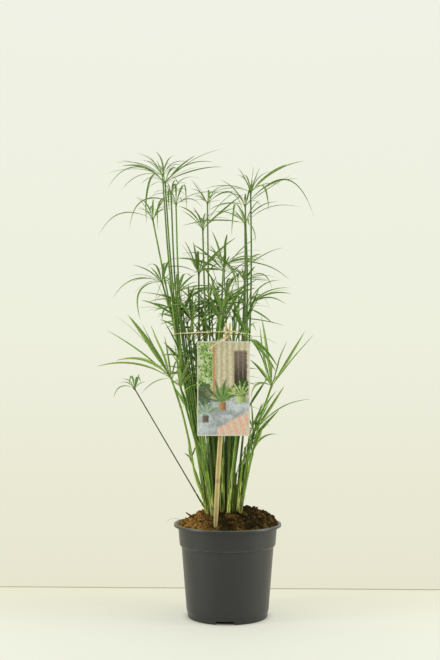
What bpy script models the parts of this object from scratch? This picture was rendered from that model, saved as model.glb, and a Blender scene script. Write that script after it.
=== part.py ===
"""A papyrus plant in its nursery pot, with its cane, card tag and raffia.

Front is -Y, +Z is up, and the origin is the middle of the pot's underside. The plant's places
were measured on a front view, so they are given in centimetres as seen there, with a depth,
and placed() carries them to where they are.
"""

import math
import random
from typing import NamedTuple

import bmesh
import bpy
import numpy as np
from mathutils import Matrix, Vector
from mathutils.bvhtree import BVHTree
from mathutils.geometry import convex_hull_2d

MM = 0.001
CM = 0.01
GAP = 0.3 * MM

EYE_DISTANCE = 178.7
EYE_ACROSS = -1.34
EYE_HEIGHT = 42.65

POT_SIDES = 32
POT_HEIGHT = 162.5 * MM
RIM_RADIUS = 95.0 * MM
COLLAR_TOP_RADIUS = 87.35 * MM
COLLAR_FOOT_RADIUS = 84.4 * MM
COLLAR_FOOT = 125.2 * MM
BODY_TOP_RADIUS = 81.45 * MM
BODY_FOOT_RADIUS = 72.35 * MM
BODY_FOOT = 12.0 * MM
BASE_RADIUS = 70.15 * MM
WALL = 1.6 * MM
LIP_DEPTH = 4.8 * MM
MOUTH_RADIUS = 91.8 * MM
FLARE_DEPTH = 3.8 * MM
FLOOR_TOP = 8.0 * MM
FLOOR_UNDER = 6.2 * MM
BOSS_RADIUS = 16.0 * MM
RECESS_RADIUS = 61.0 * MM
NOTCH_WIDTH = 31.0 * MM
NOTCH_HEIGHT = 5.8 * MM
NOTCH_DEPTH = 30.0 * MM
NOTCH_TURN = math.radians(-4.0)
NOTCHES = 3
DRAINS = 6
DRAIN_RADIUS = 5.0 * MM
DRAIN_CIRCLE = 38.0 * MM

SOIL_EDGE = 161.0 * MM
SOIL_EDGE_RADIUS = 88.6 * MM
SOIL_RISE = 27.5 * MM
SOIL_PEAK = (10.0 * MM, 5.0 * MM)
SOIL_SPREAD = 86.0 * MM
PLATEAU_TOP = 183.0 * MM
PLATEAU_CENTRE = (-6.0 * MM, 0.0)
PLATEAU_REACH = (49.0 * MM, 45.0 * MM)
SOIL_LUMP = 2.2 * MM
SOIL_RINGS = tuple(radius * MM for radius in (21, 32, 43, 54, 67, 81))

STEM_RESOLUTION = 1
STEM_ROUNDS = 600
STEM_FRACTIONS = (0.0, 0.1, 0.27, 0.5, 0.75, 1.0)
STEM_RADII = ((0.0, 2.7 * MM), (0.05, 2.2 * MM), (0.12, 1.9 * MM), (0.35, 1.6 * MM), (0.7, 1.2 * MM))
STEM_SPACE = 0.6 * MM
FOOT_SHIFT = -0.6
FOOT_SPREAD = 0.21
FOOT_DEPTH = 0.45
WAIST_DEPTH = 0.85
HUB_CLEARANCE = 5.0 * MM

HUB_RADIUS = 2.7 * MM
HUB_DROP = 3.0 * MM
HUB_RISE = 3.4 * MM
HUB_SECTOR = math.radians(13.0)
HUB_REACH = 2.2 * MM
ROOT_REACH = 1.9 * MM
ROOT_RISE = 0.9 * MM
ROOT_HALF = 0.6 * MM
LEAST_LEAN = 0.3
BLADE_TURN = 0.4

LONG_LEAF_RINGS = ((0.15, 0.66), (0.43, 1.0), (0.74, 0.66))
SHORT_LEAF_RINGS = ((0.2, 0.72), (0.6, 0.9))
LONG_LEAF = 5.5
STEADY_ARCH = 0.16
BLADE_THICKNESS = 0.9 * MM
THINNEST_LEAF = 2.8 * MM
LEAF_SPACE = 0.5 * MM

TIE_HEIGHT = 0.4995
TIE_RADIUS = 0.9 * MM
TIE_SAG = 4.5 * MM

STAKE_FOOT = (-2.35, 15.6, -7.1)
STAKE_TOP = (0.12, 51.64, -6.1)
STAKE_WIDTH = 8.0 * MM
STAKE_DEPTH = 5.6 * MM
STAKE_BURIED = 45.0 * MM
STAKE_TIP_LENGTH = 30.0 * MM
STAKE_TIP_SCALE = 0.3
STAKE_SPREAD = 1.45
SLIT_WIDTH = 4.4 * MM
SLIT_FOOT = 0.56
SLIT_LENGTH = 33.0 * MM
STAKE_SIDES = 8

TAG_WIDTH = 89.8 * MM
TAG_HEIGHT = 161.3 * MM
TAG_THICKNESS = 0.8 * MM
TAG_CENTRE = (-0.73, 39.97, -7.25)
TAG_HOLE = (-3.5, 46.9, -7.25)
TAG_HOLE_RADIUS = 3.6 * MM
TAG_BAR_STEP = 4.0 * MM
LOOP_RADIUS = 0.9 * MM
LOOP_HEIGHT = 0.4885

DEPTH_SHIFTS = (0.0, 0.5, -0.5, 1.0, -1.0, 1.5, -1.5, 2.0, -2.0, 2.6, -2.6, 3.2, -3.2, 4.0, -4.0)
ARCH_SHIFTS = (0.0, 0.05, -0.04, 0.1)
TURN_SHIFTS = (0.0, 6.0, -6.0, 12.0, -12.0, 19.0, -19.0, 27.0, -27.0)
RISE_SHIFTS = (0.0, 8.0, -8.0, 16.0, -14.0)
FILL_SIDE_LENGTH = 4.0 * CM
FILL_DEEP_LENGTH = 8.5 * CM
SEED = 11

UP = np.array((0.0, 0.0, 1.0))
AWAY = np.array((0.0, 1.0, 0.0))


class Crown(NamedTuple):
    """A leaf crown: hub (across, up, depth), leaves (across, up, away, arch, width in mm)."""

    hub: tuple
    leaves: tuple
    via: tuple = ()
    foot: tuple = ()
    count: int = 10
    slender: float = 1.0


CROWNS = (
    Crown(
        (-11.67, 78.18, -2.5),
        (
            (-1.1, 2.8, -1.0, 0.05, 2.0), (-4.9, 4.1, 3.0, 0.12, 1.8), (-8.6, 2.3, 1.5, 0.1, 2.2),
            (-7.3, -2.6, -3.0, 0.15, 2.0), (-9.9, -2.4, -1.0, 0.25, 2.2), (-10.0, 0.3, 3.0, 0.12, 1.6),
            (-2.8, -8.8, -7.5, 0.3, 4.4), (1.4, 2.0, 4.0, 0.2, 2.0),
        ),
        via=((-9.2, 49.7),), count=11,
    ),
    Crown(
        (-11.21, 76.85, 1.5),
        (
            (-8.0, 3.0, -2.5, 0.15, 4.0), (5.5, 5.0, 1.0, 0.05, 4.0), (10.0, 6.1, 2.5, 0.1, 1.8),
            (8.9, 3.7, -2.0, 0.15, 2.2), (10.5, 2.9, -4.0, 0.06, 2.6), (2.8, 1.8, -5.0, 0.3, 3.0),
        ),
        via=((-8.9, 49.7),), count=11,
    ),
    Crown(
        (-10.13, 74.85, -1.0),
        ((0.9, -1.7, -4.5, 0.5, 5.0), (-0.3, -3.2, -5.0, 0.6, 4.0), (-0.7, 2.3, -1.0, 0.05, 2.2)),
        via=((-8.65, 49.7),), count=9,
    ),
    Crown(
        (-9.24, 72.97, 3.0),
        (
            (-8.3, -4.6, -1.5, 0.35, 3.0), (1.7, 3.8, 2.5, 0.1, 2.0), (4.9, -0.9, -4.0, 0.2, 2.6),
            (1.9, -1.4, -6.0, 0.6, 3.0), (8.1, 2.0, 1.0, 0.12, 2.0), (-3.2, -4.9, -6.0, 0.4, 3.4),
        ),
        via=((-8.1, 49.7),),
    ),
    Crown(
        (-13.4, 70.27, -0.5),
        (
            (2.4, 4.1, -1.0, 0.05, 4.0), (-3.0, 1.8, 2.5, 0.15, 2.6), (-9.8, -3.2, -1.5, 0.25, 2.2),
            (-3.0, 4.2, 1.5, 0.05, 1.4), (2.2, 1.8, 4.0, 0.1, 1.6),
        ),
        via=((-9.3, 49.7),), count=9,
    ),
    Crown(
        (-4.42, 68.46, -3.0),
        (
            (-1.8, 4.1, -1.5, 0.12, 3.2), (-4.4, 4.2, -2.0, 0.15, 3.2), (7.4, 6.4, -1.5, 0.03, 3.6),
            (6.1, 3.9, -4.0, 0.1, 2.8), (-3.5, 3.2, 2.5, 0.05, 1.8),
        ),
        via=((-3.8, 49.7),),
    ),
    Crown(
        (-3.6, 73.16, 3.5),
        (
            (-3.0, 4.4, 1.0, 0.02, 2.0), (-2.2, 1.4, -3.5, 0.1, 2.4), (-2.6, 0.4, 4.0, 0.1, 1.8),
            (6.4, -1.7, -2.5, 0.4, 3.2), (1.4, 1.9, 4.5, 0.2, 1.8), (0.4, -1.9, -6.0, 0.5, 2.6),
        ),
        via=((-3.2, 49.7),),
    ),
    Crown(
        (4.18, 75.17, -1.5),
        (
            (-2.4, 4.5, 1.0, 0.1, 2.4), (0.3, 2.2, -1.5, 0.05, 3.6), (1.7, 4.5, 3.0, 0.03, 1.2),
            (6.6, 5.1, -1.0, 0.06, 5.0), (9.9, 5.7, 1.5, 0.08, 4.0), (5.5, 1.4, 4.5, 0.1, 1.8),
            (3.2, -3.4, -6.0, 0.35, 4.4), (-8.5, 0.5, -3.0, 0.1, 1.8), (-8.1, -0.7, 2.5, 0.12, 2.0),
        ),
        via=((4.0, 49.7),), count=12,
    ),
    Crown(
        (3.19, 72.72, 2.5),
        (
            (1.4, 4.7, -1.0, 0.04, 4.2), (-0.2, 1.8, 2.0, 0.05, 2.0), (-4.7, 4.8, 1.5, 0.1, 2.4),
            (-6.6, -0.9, -2.5, 0.12, 3.0), (9.9, 4.9, 2.5, 0.12, 2.4), (8.4, 5.6, -1.5, 0.03, 1.8),
            (12.3, -2.1, -1.0, 0.38, 3.2),
        ),
        via=((3.5, 49.7),), count=11,
    ),
    Crown(
        (3.15, 69.53, -4.5),
        (
            (-11.4, -0.5, -1.5, 0.07, 2.8), (-2.6, 2.2, 3.5, 0.05, 1.6), (-5.9, 2.0, 2.0, 0.12, 2.2),
            (-1.3, 2.8, 2.0, 0.05, 1.6), (-2.1, 2.4, -2.5, 0.05, 1.6), (6.0, 3.9, -2.0, 0.15, 2.4),
            (10.0, 2.9, 1.0, 0.14, 2.0), (2.8, 4.3, 2.0, 0.1, 1.8), (1.9, -3.5, -3.5, 0.2, 1.8),
            (-2.4, -2.4, -5.0, 0.5, 4.0),
        ),
        via=((3.0, 49.7),), count=12,
    ),
    Crown(
        (-11.7, 58.88, -1.0),
        (
            (-2.1, 2.8, -1.5, 0.05, 3.2), (-5.4, 3.2, 2.0, 0.08, 2.2), (-8.9, -3.0, 1.0, 0.22, 2.4),
            (-5.1, -2.2, 3.5, 0.15, 1.8), (-3.8, -6.8, -3.0, 0.35, 3.0),
        ),
        via=((-9.1, 49.7),), count=9,
    ),
    Crown(
        (-9.01, 56.93, -3.5),
        ((1.2, 3.2, -1.0, 0.05, 3.6), (3.4, 3.5, -2.0, 0.08, 3.6), (4.5, 0.9, -2.5, 0.12, 2.6)),
        via=((-8.2, 49.7),), count=9,
    ),
    Crown(
        (-9.89, 54.11, 1.0),
        ((-4.0, 1.1, -1.5, 0.05, 3.2), (-3.4, -0.4, 1.5, 0.08, 2.8), (-1.8, -2.2, -3.0, 0.3, 3.0)),
        via=((-9.3, 49.7),), count=8,
    ),
    Crown(
        (-5.13, 60.45, 0.5),
        (
            (-1.0, 5.8, 0.5, 0.03, 3.6), (-2.6, 6.0, -1.5, 0.04, 2.2), (-7.5, 0.7, 2.5, 0.12, 2.0),
            (6.8, 6.6, -2.5, 0.05, 3.6), (5.5, 4.6, 2.5, 0.06, 1.8),
        ),
        via=((-5.0, 49.7),),
    ),
    Crown(
        (-0.71, 61.92, -1.5),
        (
            (-2.2, 6.4, 1.0, 0.08, 3.4), (-2.6, 3.9, -1.5, 0.05, 2.6), (7.6, 0.8, 2.0, 0.15, 2.2),
            (6.6, 0.9, -2.0, 0.1, 3.4), (12.0, -2.7, 1.0, 0.18, 2.4), (-2.6, 0.5, -4.5, 0.12, 2.8),
            (-2.6, -1.1, 3.5, 0.15, 2.4), (2.3, -4.2, -4.0, 0.2, 3.6), (6.9, 2.7, 3.5, 0.1, 1.4),
            (-7.5, 2.1, 3.0, 0.12, 1.8),
        ),
        via=((-1.2, 49.7),), count=11,
    ),
    Crown(
        (-0.3, 57.21, 2.0),
        (
            (-7.3, -0.1, -2.0, 0.1, 3.2), (-1.8, 1.9, -2.5, 0.05, 3.2), (2.4, 3.5, -2.0, 0.05, 3.6),
            (-2.0, -2.4, -4.5, 0.3, 3.4), (1.5, 3.0, 2.0, 0.05, 3.0),
        ),
        via=((-0.9, 49.7),), count=9,
    ),
    Crown(
        (3.07, 59.22, 0.5),
        (
            (1.9, 2.6, -1.5, 0.03, 4.4), (-0.5, 2.2, -2.0, 0.03, 3.6), (3.9, -0.1, -3.5, 0.05, 3.0),
            (5.8, 0.5, 3.0, 0.1, 1.8), (4.9, -1.6, 1.0, 0.4, 2.4),
        ),
        via=((2.7, 49.7),), count=9,
    ),
    Crown(
        (3.35, 54.23, -2.0),
        (
            (8.0, 3.7, 2.0, 0.12, 2.4), (8.2, 2.6, -1.0, 0.14, 3.2), (7.3, 0.6, -3.5, 0.2, 2.8),
            (4.3, -0.1, -4.5, 0.35, 2.6), (4.8, -2.7, 1.0, 0.05, 2.8), (6.3, 5.1, 3.0, 0.1, 2.2),
        ),
        via=((3.2, 49.7),), count=9,
    ),
    Crown(
        (-1.11, 53.58, -4.0),
        ((-2.2, 7.0, 0.5, 0.05, 3.8), (-2.3, 5.5, -1.5, 0.04, 3.0), (-5.3, -3.2, -2.0, 0.1, 3.4)),
        via=((-1.5, 49.7),), count=8,
    ),
    Crown(
        (3.42, 49.0, -6.6),
        ((5.3, -6.2, -0.5, 0.05, 5.0), (3.6, -7.0, 1.5, 0.1, 2.0)),
        count=6,
    ),
    Crown(
        (-9.99, 41.7, -4.0),
        (
            (-7.9, 11.5, 0.0, 0.02, 8.0), (-11.7, 8.7, 2.0, 0.03, 2.6), (-10.0, 3.2, -1.0, 0.15, 5.0),
            (-13.6, 2.1, 1.5, 0.15, 3.4), (-3.8, 9.7, -1.0, 0.03, 3.4), (-1.3, 7.7, 2.0, 0.06, 2.6),
            (-5.3, 9.9, 3.0, 0.03, 1.4), (-5.5, -2.8, 3.5, 0.1, 1.6),
        ),
        via=((-6.38, 27.3), (-6.72, 30.1), (-7.9, 35.2)), foot=(-3.5,), count=11,
    ),
    Crown(
        (-8.39, 40.26, -6.0),
        ((1.8, 5.4, -1.0, 0.04, 4.4), (0.0, 8.0, 1.0, 0.04, 5.0), (-1.1, 8.0, 2.5, 0.15, 2.6),
         (-1.7, 1.4, -1.0, 0.0, 3.4)),
        count=7,
    ),
    Crown(
        (-16.58, 39.97, 1.0),
        (
            (0.85, 2.6, 0.0, 0.05, 3.6), (-3.7, -1.7, -0.5, 0.3, 1.8), (-2.9, 0.8, 1.0, 0.2, 1.4),
            (-2.3, 1.6, -1.0, 0.25, 1.6), (2.0, 1.2, 1.5, 0.1, 1.2),
        ),
        foot=(-3.75,), count=7, slender=0.62,
    ),
    Crown(
        (7.86, 40.43, -3.0),
        (
            (-1.9, 12.7, 0.0, 0.12, 5.0), (-2.1, 10.8, 1.5, -0.03, 3.0), (-3.9, 4.7, -1.5, 0.05, 5.0),
            (6.0, 9.8, -1.0, 0.0, 4.6), (7.7, 9.3, 1.5, 0.02, 1.8), (-3.6, -2.4, -3.0, 0.35, 3.6),
            (-3.8, 0.2, 3.0, 0.1, 1.8), (2.8, 8.1, 2.5, 0.03, 1.2), (1.1, 1.8, -2.0, 0.1, 2.4),
        ),
        via=((5.3, 32.2), (5.9, 34.7), (6.95, 37.5)), foot=(1.9,), count=11,
    ),
    Crown(
        (4.67, 32.08, -2.0),
        ((5.5, 8.4, -0.5, 0.0, 5.0), (10.4, 6.0, 1.5, 0.12, 2.0), (-0.5, 5.8, 1.0, 0.02, 1.8),
         (1.6, 5.5, 2.5, 0.05, 1.6)),
        foot=(1.4,), count=7,
    ),
)

SHOOTS = (
    Crown(
        (4.4, 28.7, -4.2),
        ((1.9, 4.3, -0.5, 0.02, 7.0), (4.6, 3.1, 0.8, 0.2, 2.6), (-0.6, 3.2, 1.0, 0.05, 3.0)),
        foot=(2.25,), count=3, slender=1.15,
    ),
    Crown(
        (-6.5, 27.5, 2.6),
        ((-1.25, 0.95, 0.4, 0.1, 2.4), (-0.5, 3.4, -0.4, 0.05, 2.8), (1.2, 2.6, 0.9, 0.1, 2.4)),
        foot=(-3.3,), count=3, slender=0.8,
    ),
    Crown(
        (-3.9, 27.0, -4.4),
        ((-0.9, 7.2, 0.4, 0.03, 5.0), (0.5, 4.6, 1.2, 0.05, 3.6), (-1.8, 4.0, -0.4, 0.08, 3.0)),
        foot=(-2.7,), count=3, slender=1.1,
    ),
)

COLOURS = {
    "pot": ((0.052, 0.056, 0.049), 0.42),
    "soil": ((0.05, 0.03, 0.018), 0.95),
    "stem": ((0.09, 0.2, 0.03), 0.5),
    "leaf": ((0.1, 0.25, 0.04), 0.5),
    "shoot": ((0.2, 0.36, 0.06), 0.5),
    "cane": ((0.6, 0.42, 0.2), 0.6),
    "card": ((0.55, 0.56, 0.5), 0.35),
    "raffia": ((0.68, 0.56, 0.3), 0.7),
}


def placed(across, up, depth):
    """Point in metres of what is seen at (across, up) centimetres and lies depth behind the axis."""
    nearer = 1.0 + depth / EYE_DISTANCE
    x = EYE_ACROSS + (across - EYE_ACROSS) * nearer
    z = EYE_HEIGHT + (up - EYE_HEIGHT) * nearer
    return np.array((x, depth, z)) * CM


def collection(name):
    """A collection of this name, linked to the scene."""
    found = bpy.data.collections.get(name)
    if found is None:
        found = bpy.data.collections.new(name)
        bpy.context.scene.collection.children.link(found)
    return found


def material(name, kind):
    """A plain material of one of the colours."""
    colour, roughness = COLOURS[kind]
    made = bpy.data.materials.new(name)
    made.use_nodes = True
    shader = made.node_tree.nodes["Principled BSDF"]
    shader.inputs["Base Color"].default_value = (*colour, 1.0)
    shader.inputs["Roughness"].default_value = roughness
    shader.inputs["Metallic"].default_value = 0.0
    return made


def add_part(name, data, kind):
    """An object of the plant's collection, with a material of its own."""
    part = bpy.data.objects.new(name, data)
    data.materials.append(material(name, kind))
    collection("potted_papyrus").objects.link(part)
    return part


def add_cutter(name, data):
    """An object that only cuts others, and isn't part of the plant."""
    cutter = bpy.data.objects.new(name, data)
    cutter.hide_render = True
    cutter.display_type = "WIRE"
    collection("cutters").objects.link(cutter)
    return cutter


def cut(part, cutter):
    """Take cutter away from part."""
    boolean = part.modifiers.new(cutter.name, "BOOLEAN")
    boolean.operation = "DIFFERENCE"
    boolean.solver = "EXACT"
    boolean.object = cutter


def evaluated_mesh(source):
    """The mesh of an object after its modifiers; the object is removed."""
    bpy.context.view_layer.update()
    graph = bpy.context.evaluated_depsgraph_get()
    mesh = bpy.data.meshes.new_from_object(source.evaluated_get(graph))
    bpy.data.objects.remove(source)
    return mesh


def turned_mesh(profile, sides):
    """Mesh of a profile of (radius, height) turned about Z, as one closed body."""
    mesh = bpy.data.meshes.new("profile")
    profile_points = [(radius, 0.0, height) for radius, height in profile]
    mesh.from_pydata(profile_points, [(i, i + 1) for i in range(len(profile) - 1)], [])
    lathe = bpy.data.objects.new("lathe", mesh)
    bpy.context.scene.collection.objects.link(lathe)
    screw = lathe.modifiers.new("turn", "SCREW")
    screw.steps = sides
    screw.render_steps = sides
    screw.use_merge_vertices = True
    screw.merge_threshold = 0.01 * MM
    return evaluated_mesh(lathe)


def tube_data(name, points, radius, resolution, radii=None, closed=False):
    """A round curve through points, whose thickness may change along it."""
    curve = bpy.data.curves.new(name, "CURVE")
    curve.dimensions = "3D"
    curve.bevel_depth = radius
    curve.bevel_resolution = resolution
    curve.use_fill_caps = not closed
    spline = curve.splines.new("POLY")
    spline.points.add(len(points) - 1)
    for index, point in enumerate(points):
        spline.points[index].co = (*point, 1.0)
        spline.points[index].radius = 1.0 if radii is None else radii[index] / radius
    spline.use_cyclic_u = closed
    return curve


def inner_wall(inset=0.0):
    """Radius and height down the lip's flare and the inside of the pot, kept off it by inset."""
    return [
        (MOUTH_RADIUS - 2.0 * inset, POT_HEIGHT),
        (COLLAR_TOP_RADIUS - WALL - inset, POT_HEIGHT - FLARE_DEPTH + inset),
        (COLLAR_FOOT_RADIUS - WALL - inset, COLLAR_FOOT),
        (BODY_TOP_RADIUS - WALL - inset, COLLAR_FOOT - 2.5 * MM),
        (BODY_FOOT_RADIUS - WALL - inset, BODY_FOOT + 1.0 * MM),
        (BASE_RADIUS - WALL - inset, FLOOR_TOP + inset),
    ]


def outer_wall():
    """Radius and height over the lip, down the outside of the pot and under its floor."""
    lip_foot = POT_HEIGHT - LIP_DEPTH
    return [
        (RIM_RADIUS - 1.5 * MM, POT_HEIGHT),
        (RIM_RADIUS, POT_HEIGHT - 1.5 * MM),
        (RIM_RADIUS, lip_foot + 1.0 * MM),
        (COLLAR_TOP_RADIUS, lip_foot),
        (COLLAR_FOOT_RADIUS, COLLAR_FOOT),
        (BODY_TOP_RADIUS, COLLAR_FOOT - 2.5 * MM),
        (BODY_FOOT_RADIUS, BODY_FOOT),
        (BASE_RADIUS, BODY_FOOT - 1.0 * MM),
        (BASE_RADIUS, 0.0),
        (RECESS_RADIUS + 2.0 * MM, 0.0),
        (RECESS_RADIUS, FLOOR_UNDER),
        (BOSS_RADIUS, FLOOR_UNDER),
        (BOSS_RADIUS, 0.0),
        (0.0, 0.0),
    ]


def make_pot():
    """The moulded pot, with a rolled lip, a step under its collar and a notched foot ring."""
    profile = [(0.0, FLOOR_TOP), *reversed(inner_wall()), *outer_wall()]
    pot = add_part("pot", turned_mesh(profile, POT_SIDES), "pot")
    bm = bmesh.new()
    for index in range(NOTCHES):
        turn = Matrix.Rotation(NOTCH_TURN + math.tau * index / NOTCHES, 4, "Z")
        place = turn @ Matrix.Translation((0.0, -BASE_RADIUS, 0.0))
        size = Matrix.Diagonal((NOTCH_WIDTH, NOTCH_DEPTH, 2.0 * NOTCH_HEIGHT, 1.0))
        bmesh.ops.create_cube(bm, size=1.0, matrix=place @ size)
    for index in range(DRAINS):
        angle = math.tau * (index + 0.5) / DRAINS
        place = (DRAIN_CIRCLE * math.cos(angle), DRAIN_CIRCLE * math.sin(angle), FLOOR_UNDER)
        bmesh.ops.create_cone(
            bm, cap_ends=True, segments=6, radius1=DRAIN_RADIUS, radius2=DRAIN_RADIUS,
            depth=4.0 * FLOOR_TOP, matrix=Matrix.Translation(place),
        )
    cut(pot, add_cutter("foot_openings", mesh_of(bm, "foot_openings")))


def soil_height(x, y):
    """Height of the mounded soil, level where the plant's clump stands on it."""
    aside = (x - PLATEAU_CENTRE[0]) / PLATEAU_REACH[0]
    behind = (y - PLATEAU_CENTRE[1]) / PLATEAU_REACH[1]
    across = math.hypot(x - SOIL_PEAK[0], y - SOIL_PEAK[1]) / SOIL_SPREAD
    height = SOIL_EDGE + SOIL_RISE * max(0.0, 1.0 - across**2) ** 0.8
    lump = math.sin(x * 131.0 + 1.3) * math.sin(y * 117.0 - 0.4) + 0.6 * math.sin(x * 247.0 - y * 203.0)
    height += SOIL_LUMP * lump
    return min(height, PLATEAU_TOP) if math.hypot(aside, behind) < 1.0 else height


def make_soil():
    """The potting soil, which fills the pot and is heaped up round the stems."""
    wall = inner_wall(GAP)
    surface = [(radius, SOIL_EDGE) for radius in (0.0, *SOIL_RINGS, SOIL_EDGE_RADIUS)]
    profile = [*surface, *wall[1:], (0.0, FLOOR_TOP + GAP)]
    mesh = turned_mesh(profile, POT_SIDES)
    for vertex in mesh.vertices:
        reach = math.hypot(vertex.co.x, vertex.co.y)
        if vertex.co.z > SOIL_EDGE - GAP and reach < SOIL_RINGS[-1] + GAP:
            vertex.co.z = soil_height(vertex.co.x, vertex.co.y)
    soil = add_part("soil", mesh, "soil")
    cut(soil, add_cutter("stake_pocket", stake_mesh(GAP)))
    return mesh


def stake_line():
    """The bamboo cane's two ends, its foot deep in the soil."""
    foot, top = Vector(placed(*STAKE_FOOT)), Vector(placed(*STAKE_TOP))
    return foot - (top - foot).normalized() * STAKE_BURIED, top


def stake_at(height):
    """Middle of the cane at a height."""
    foot, top = stake_line()
    return foot.lerp(top, (height - foot.z) / (top.z - foot.z))


def stake_frame():
    """Place and lean of the cane: its foot, its length as Z, and its broad side along X."""
    foot, top = stake_line()
    along = (top - foot).normalized()
    broad = (Vector((1.0, 0.0, 0.0)) - along * along.x).normalized()
    lean = Matrix((broad, along.cross(broad), along)).transposed().to_4x4()
    return Matrix.Translation(foot) @ lean


def stake_mesh(swell=0.0):
    """The cane's rod, sharpened at its foot, in its place; swell makes a pocket for it."""
    foot, top = stake_line()
    length = (top - foot).length + swell
    point = STAKE_BURIED + STAKE_TIP_LENGTH
    profile = [
        (0.0, length), (0.5, length), (0.5, length - SLIT_LENGTH), (0.5, point),
        (0.5 * STAKE_TIP_SCALE, -swell), (0.0, -swell),
    ]
    mesh = turned_mesh(profile, STAKE_SIDES)
    for vertex in mesh.vertices:
        if vertex.co.z > length - GAP:
            vertex.co.x *= STAKE_SPREAD
    width = Matrix.Diagonal((STAKE_WIDTH + 2.0 * swell, STAKE_DEPTH + 2.0 * swell, 1.0, 1.0))
    mesh.transform(stake_frame() @ width)
    return mesh


def make_stake():
    """The bamboo cane, split and spread at its top, where the raffia goes through."""
    stake = add_part("stake", stake_mesh(), "cane")
    foot, top = stake_line()
    bm = bmesh.new()
    end = Matrix.Translation((0.0, 0.0, (top - foot).length))
    size = Matrix.Diagonal((SLIT_WIDTH, 4.0 * STAKE_DEPTH, 2.0 * SLIT_LENGTH, 1.0))
    bmesh.ops.create_cube(bm, size=1.0)
    for vertex in bm.verts:
        vertex.co.x *= SLIT_FOOT if vertex.co.z < 0.0 else 2.0 - SLIT_FOOT
    bm.transform(stake_frame() @ end @ size)
    cut(stake, add_cutter("slit", mesh_of(bm, "slit")))


def make_tag():
    """The card tag, flat, with its punched hole; it hangs in front of the cane."""
    centre = placed(*TAG_CENTRE)
    hole = placed(*TAG_HOLE) - centre
    curve = bpy.data.curves.new("tag", "CURVE")
    curve.dimensions = "2D"
    curve.fill_mode = "BOTH"
    curve.extrude = TAG_THICKNESS / 2.0
    half_width, half_height = TAG_WIDTH / 2.0, TAG_HEIGHT / 2.0
    corners = ((-half_width, -half_height), (half_width, -half_height),
               (half_width, half_height), (-half_width, half_height))
    ring = [
        (hole[0] + TAG_HOLE_RADIUS * math.cos(turn), hole[2] + TAG_HOLE_RADIUS * math.sin(turn))
        for turn in (math.tau * index / 8 for index in range(8))
    ]
    for outline in (corners, ring):
        spline = curve.splines.new("POLY")
        spline.points.add(len(outline) - 1)
        for point, place in zip(spline.points, outline):
            point.co = (*place, 0.0, 1.0)
        spline.use_cyclic_u = True
    tag = add_part("tag", curve, "card")
    tag.location = centre
    tag.rotation_euler = (math.pi / 2.0, 0.0, 0.0)


def loop_path():
    """Middle of the raffia loop: through the cane's slit, over the tag, and through its hole."""
    cane = stake_at(LOOP_HEIGHT)
    hole = Vector(placed(*TAG_HOLE))
    steps = (
        (cane, (0.0, 0.0, 0.0)), (cane, (0.0, -5.5, -0.5)), (cane, (-6.0, -10.5, -3.5)),
        (cane, (-16.0, -14.8, -9.5)), (hole, (10.0, -3.2, 6.5)), (hole, (1.5, -2.6, 1.0)),
        (hole, (0.0, 0.0, 0.2)), (hole, (0.0, 2.6, 1.2)), (hole, (8.0, 4.6, 8.5)),
        (hole, (18.0, 8.0, 14.0)), (cane, (-9.0, 2.5, -2.0)), (cane, (-3.5, 6.4, -0.2)),
        (cane, (-0.2, 4.6, 0.2)),
    )
    return [start + Vector(step) * MM for start, step in steps]


def smooth(values, knots, heights):
    """Values at heights on a smooth line through values at knots."""
    slopes = np.gradient(values, knots)
    index = np.clip(np.searchsorted(knots, heights, side="right") - 1, 0, len(knots) - 2)
    span = knots[index + 1] - knots[index]
    t = (heights - knots[index]) / span
    start = values[index] * (1 + 2 * t) * (1 - t) ** 2 + slopes[index] * span * t * (1 - t) ** 2
    end = values[index + 1] * t**2 * (3 - 2 * t) + slopes[index + 1] * span * t**2 * (t - 1)
    return start + end


def first_path(crown):
    """A stem's path as measured, from the soil to its hub, not yet kept clear of the others."""
    across, up, depth = crown.hub
    foot = crown.foot[0] if crown.foot else FOOT_SHIFT + FOOT_SPREAD * across
    knots = [(foot, PLATEAU_TOP / CM), *crown.via, (across, up)]
    heights = np.array([knot[1] for knot in knots])
    wanted = heights[0] + np.array(STEM_FRACTIONS) * (heights[-1] - heights[0])
    acrosses = smooth(np.array([knot[0] for knot in knots]), heights, wanted)
    rise = (wanted - wanted[0]) / (TIE_HEIGHT / CM - wanted[0])
    share = np.where(
        rise < 1.0, FOOT_DEPTH + (WAIST_DEPTH - FOOT_DEPTH) * rise,
        WAIST_DEPTH + (1.0 - WAIST_DEPTH) * (rise - 1.0) / max(rise[-1] - 1.0, 0.01),
    )
    depths = share * depth / share[-1]
    return np.array([placed(*point) for point in zip(acrosses, wanted, depths)])


def stem_radii(path, slender):
    """Half thickness of a stem at its points: a swollen sheath below, thin towards the crown."""
    heights, radii = zip(*STEM_RADII)
    return np.interp(path[:, 2] - path[0, 2], heights, radii) * slender


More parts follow.
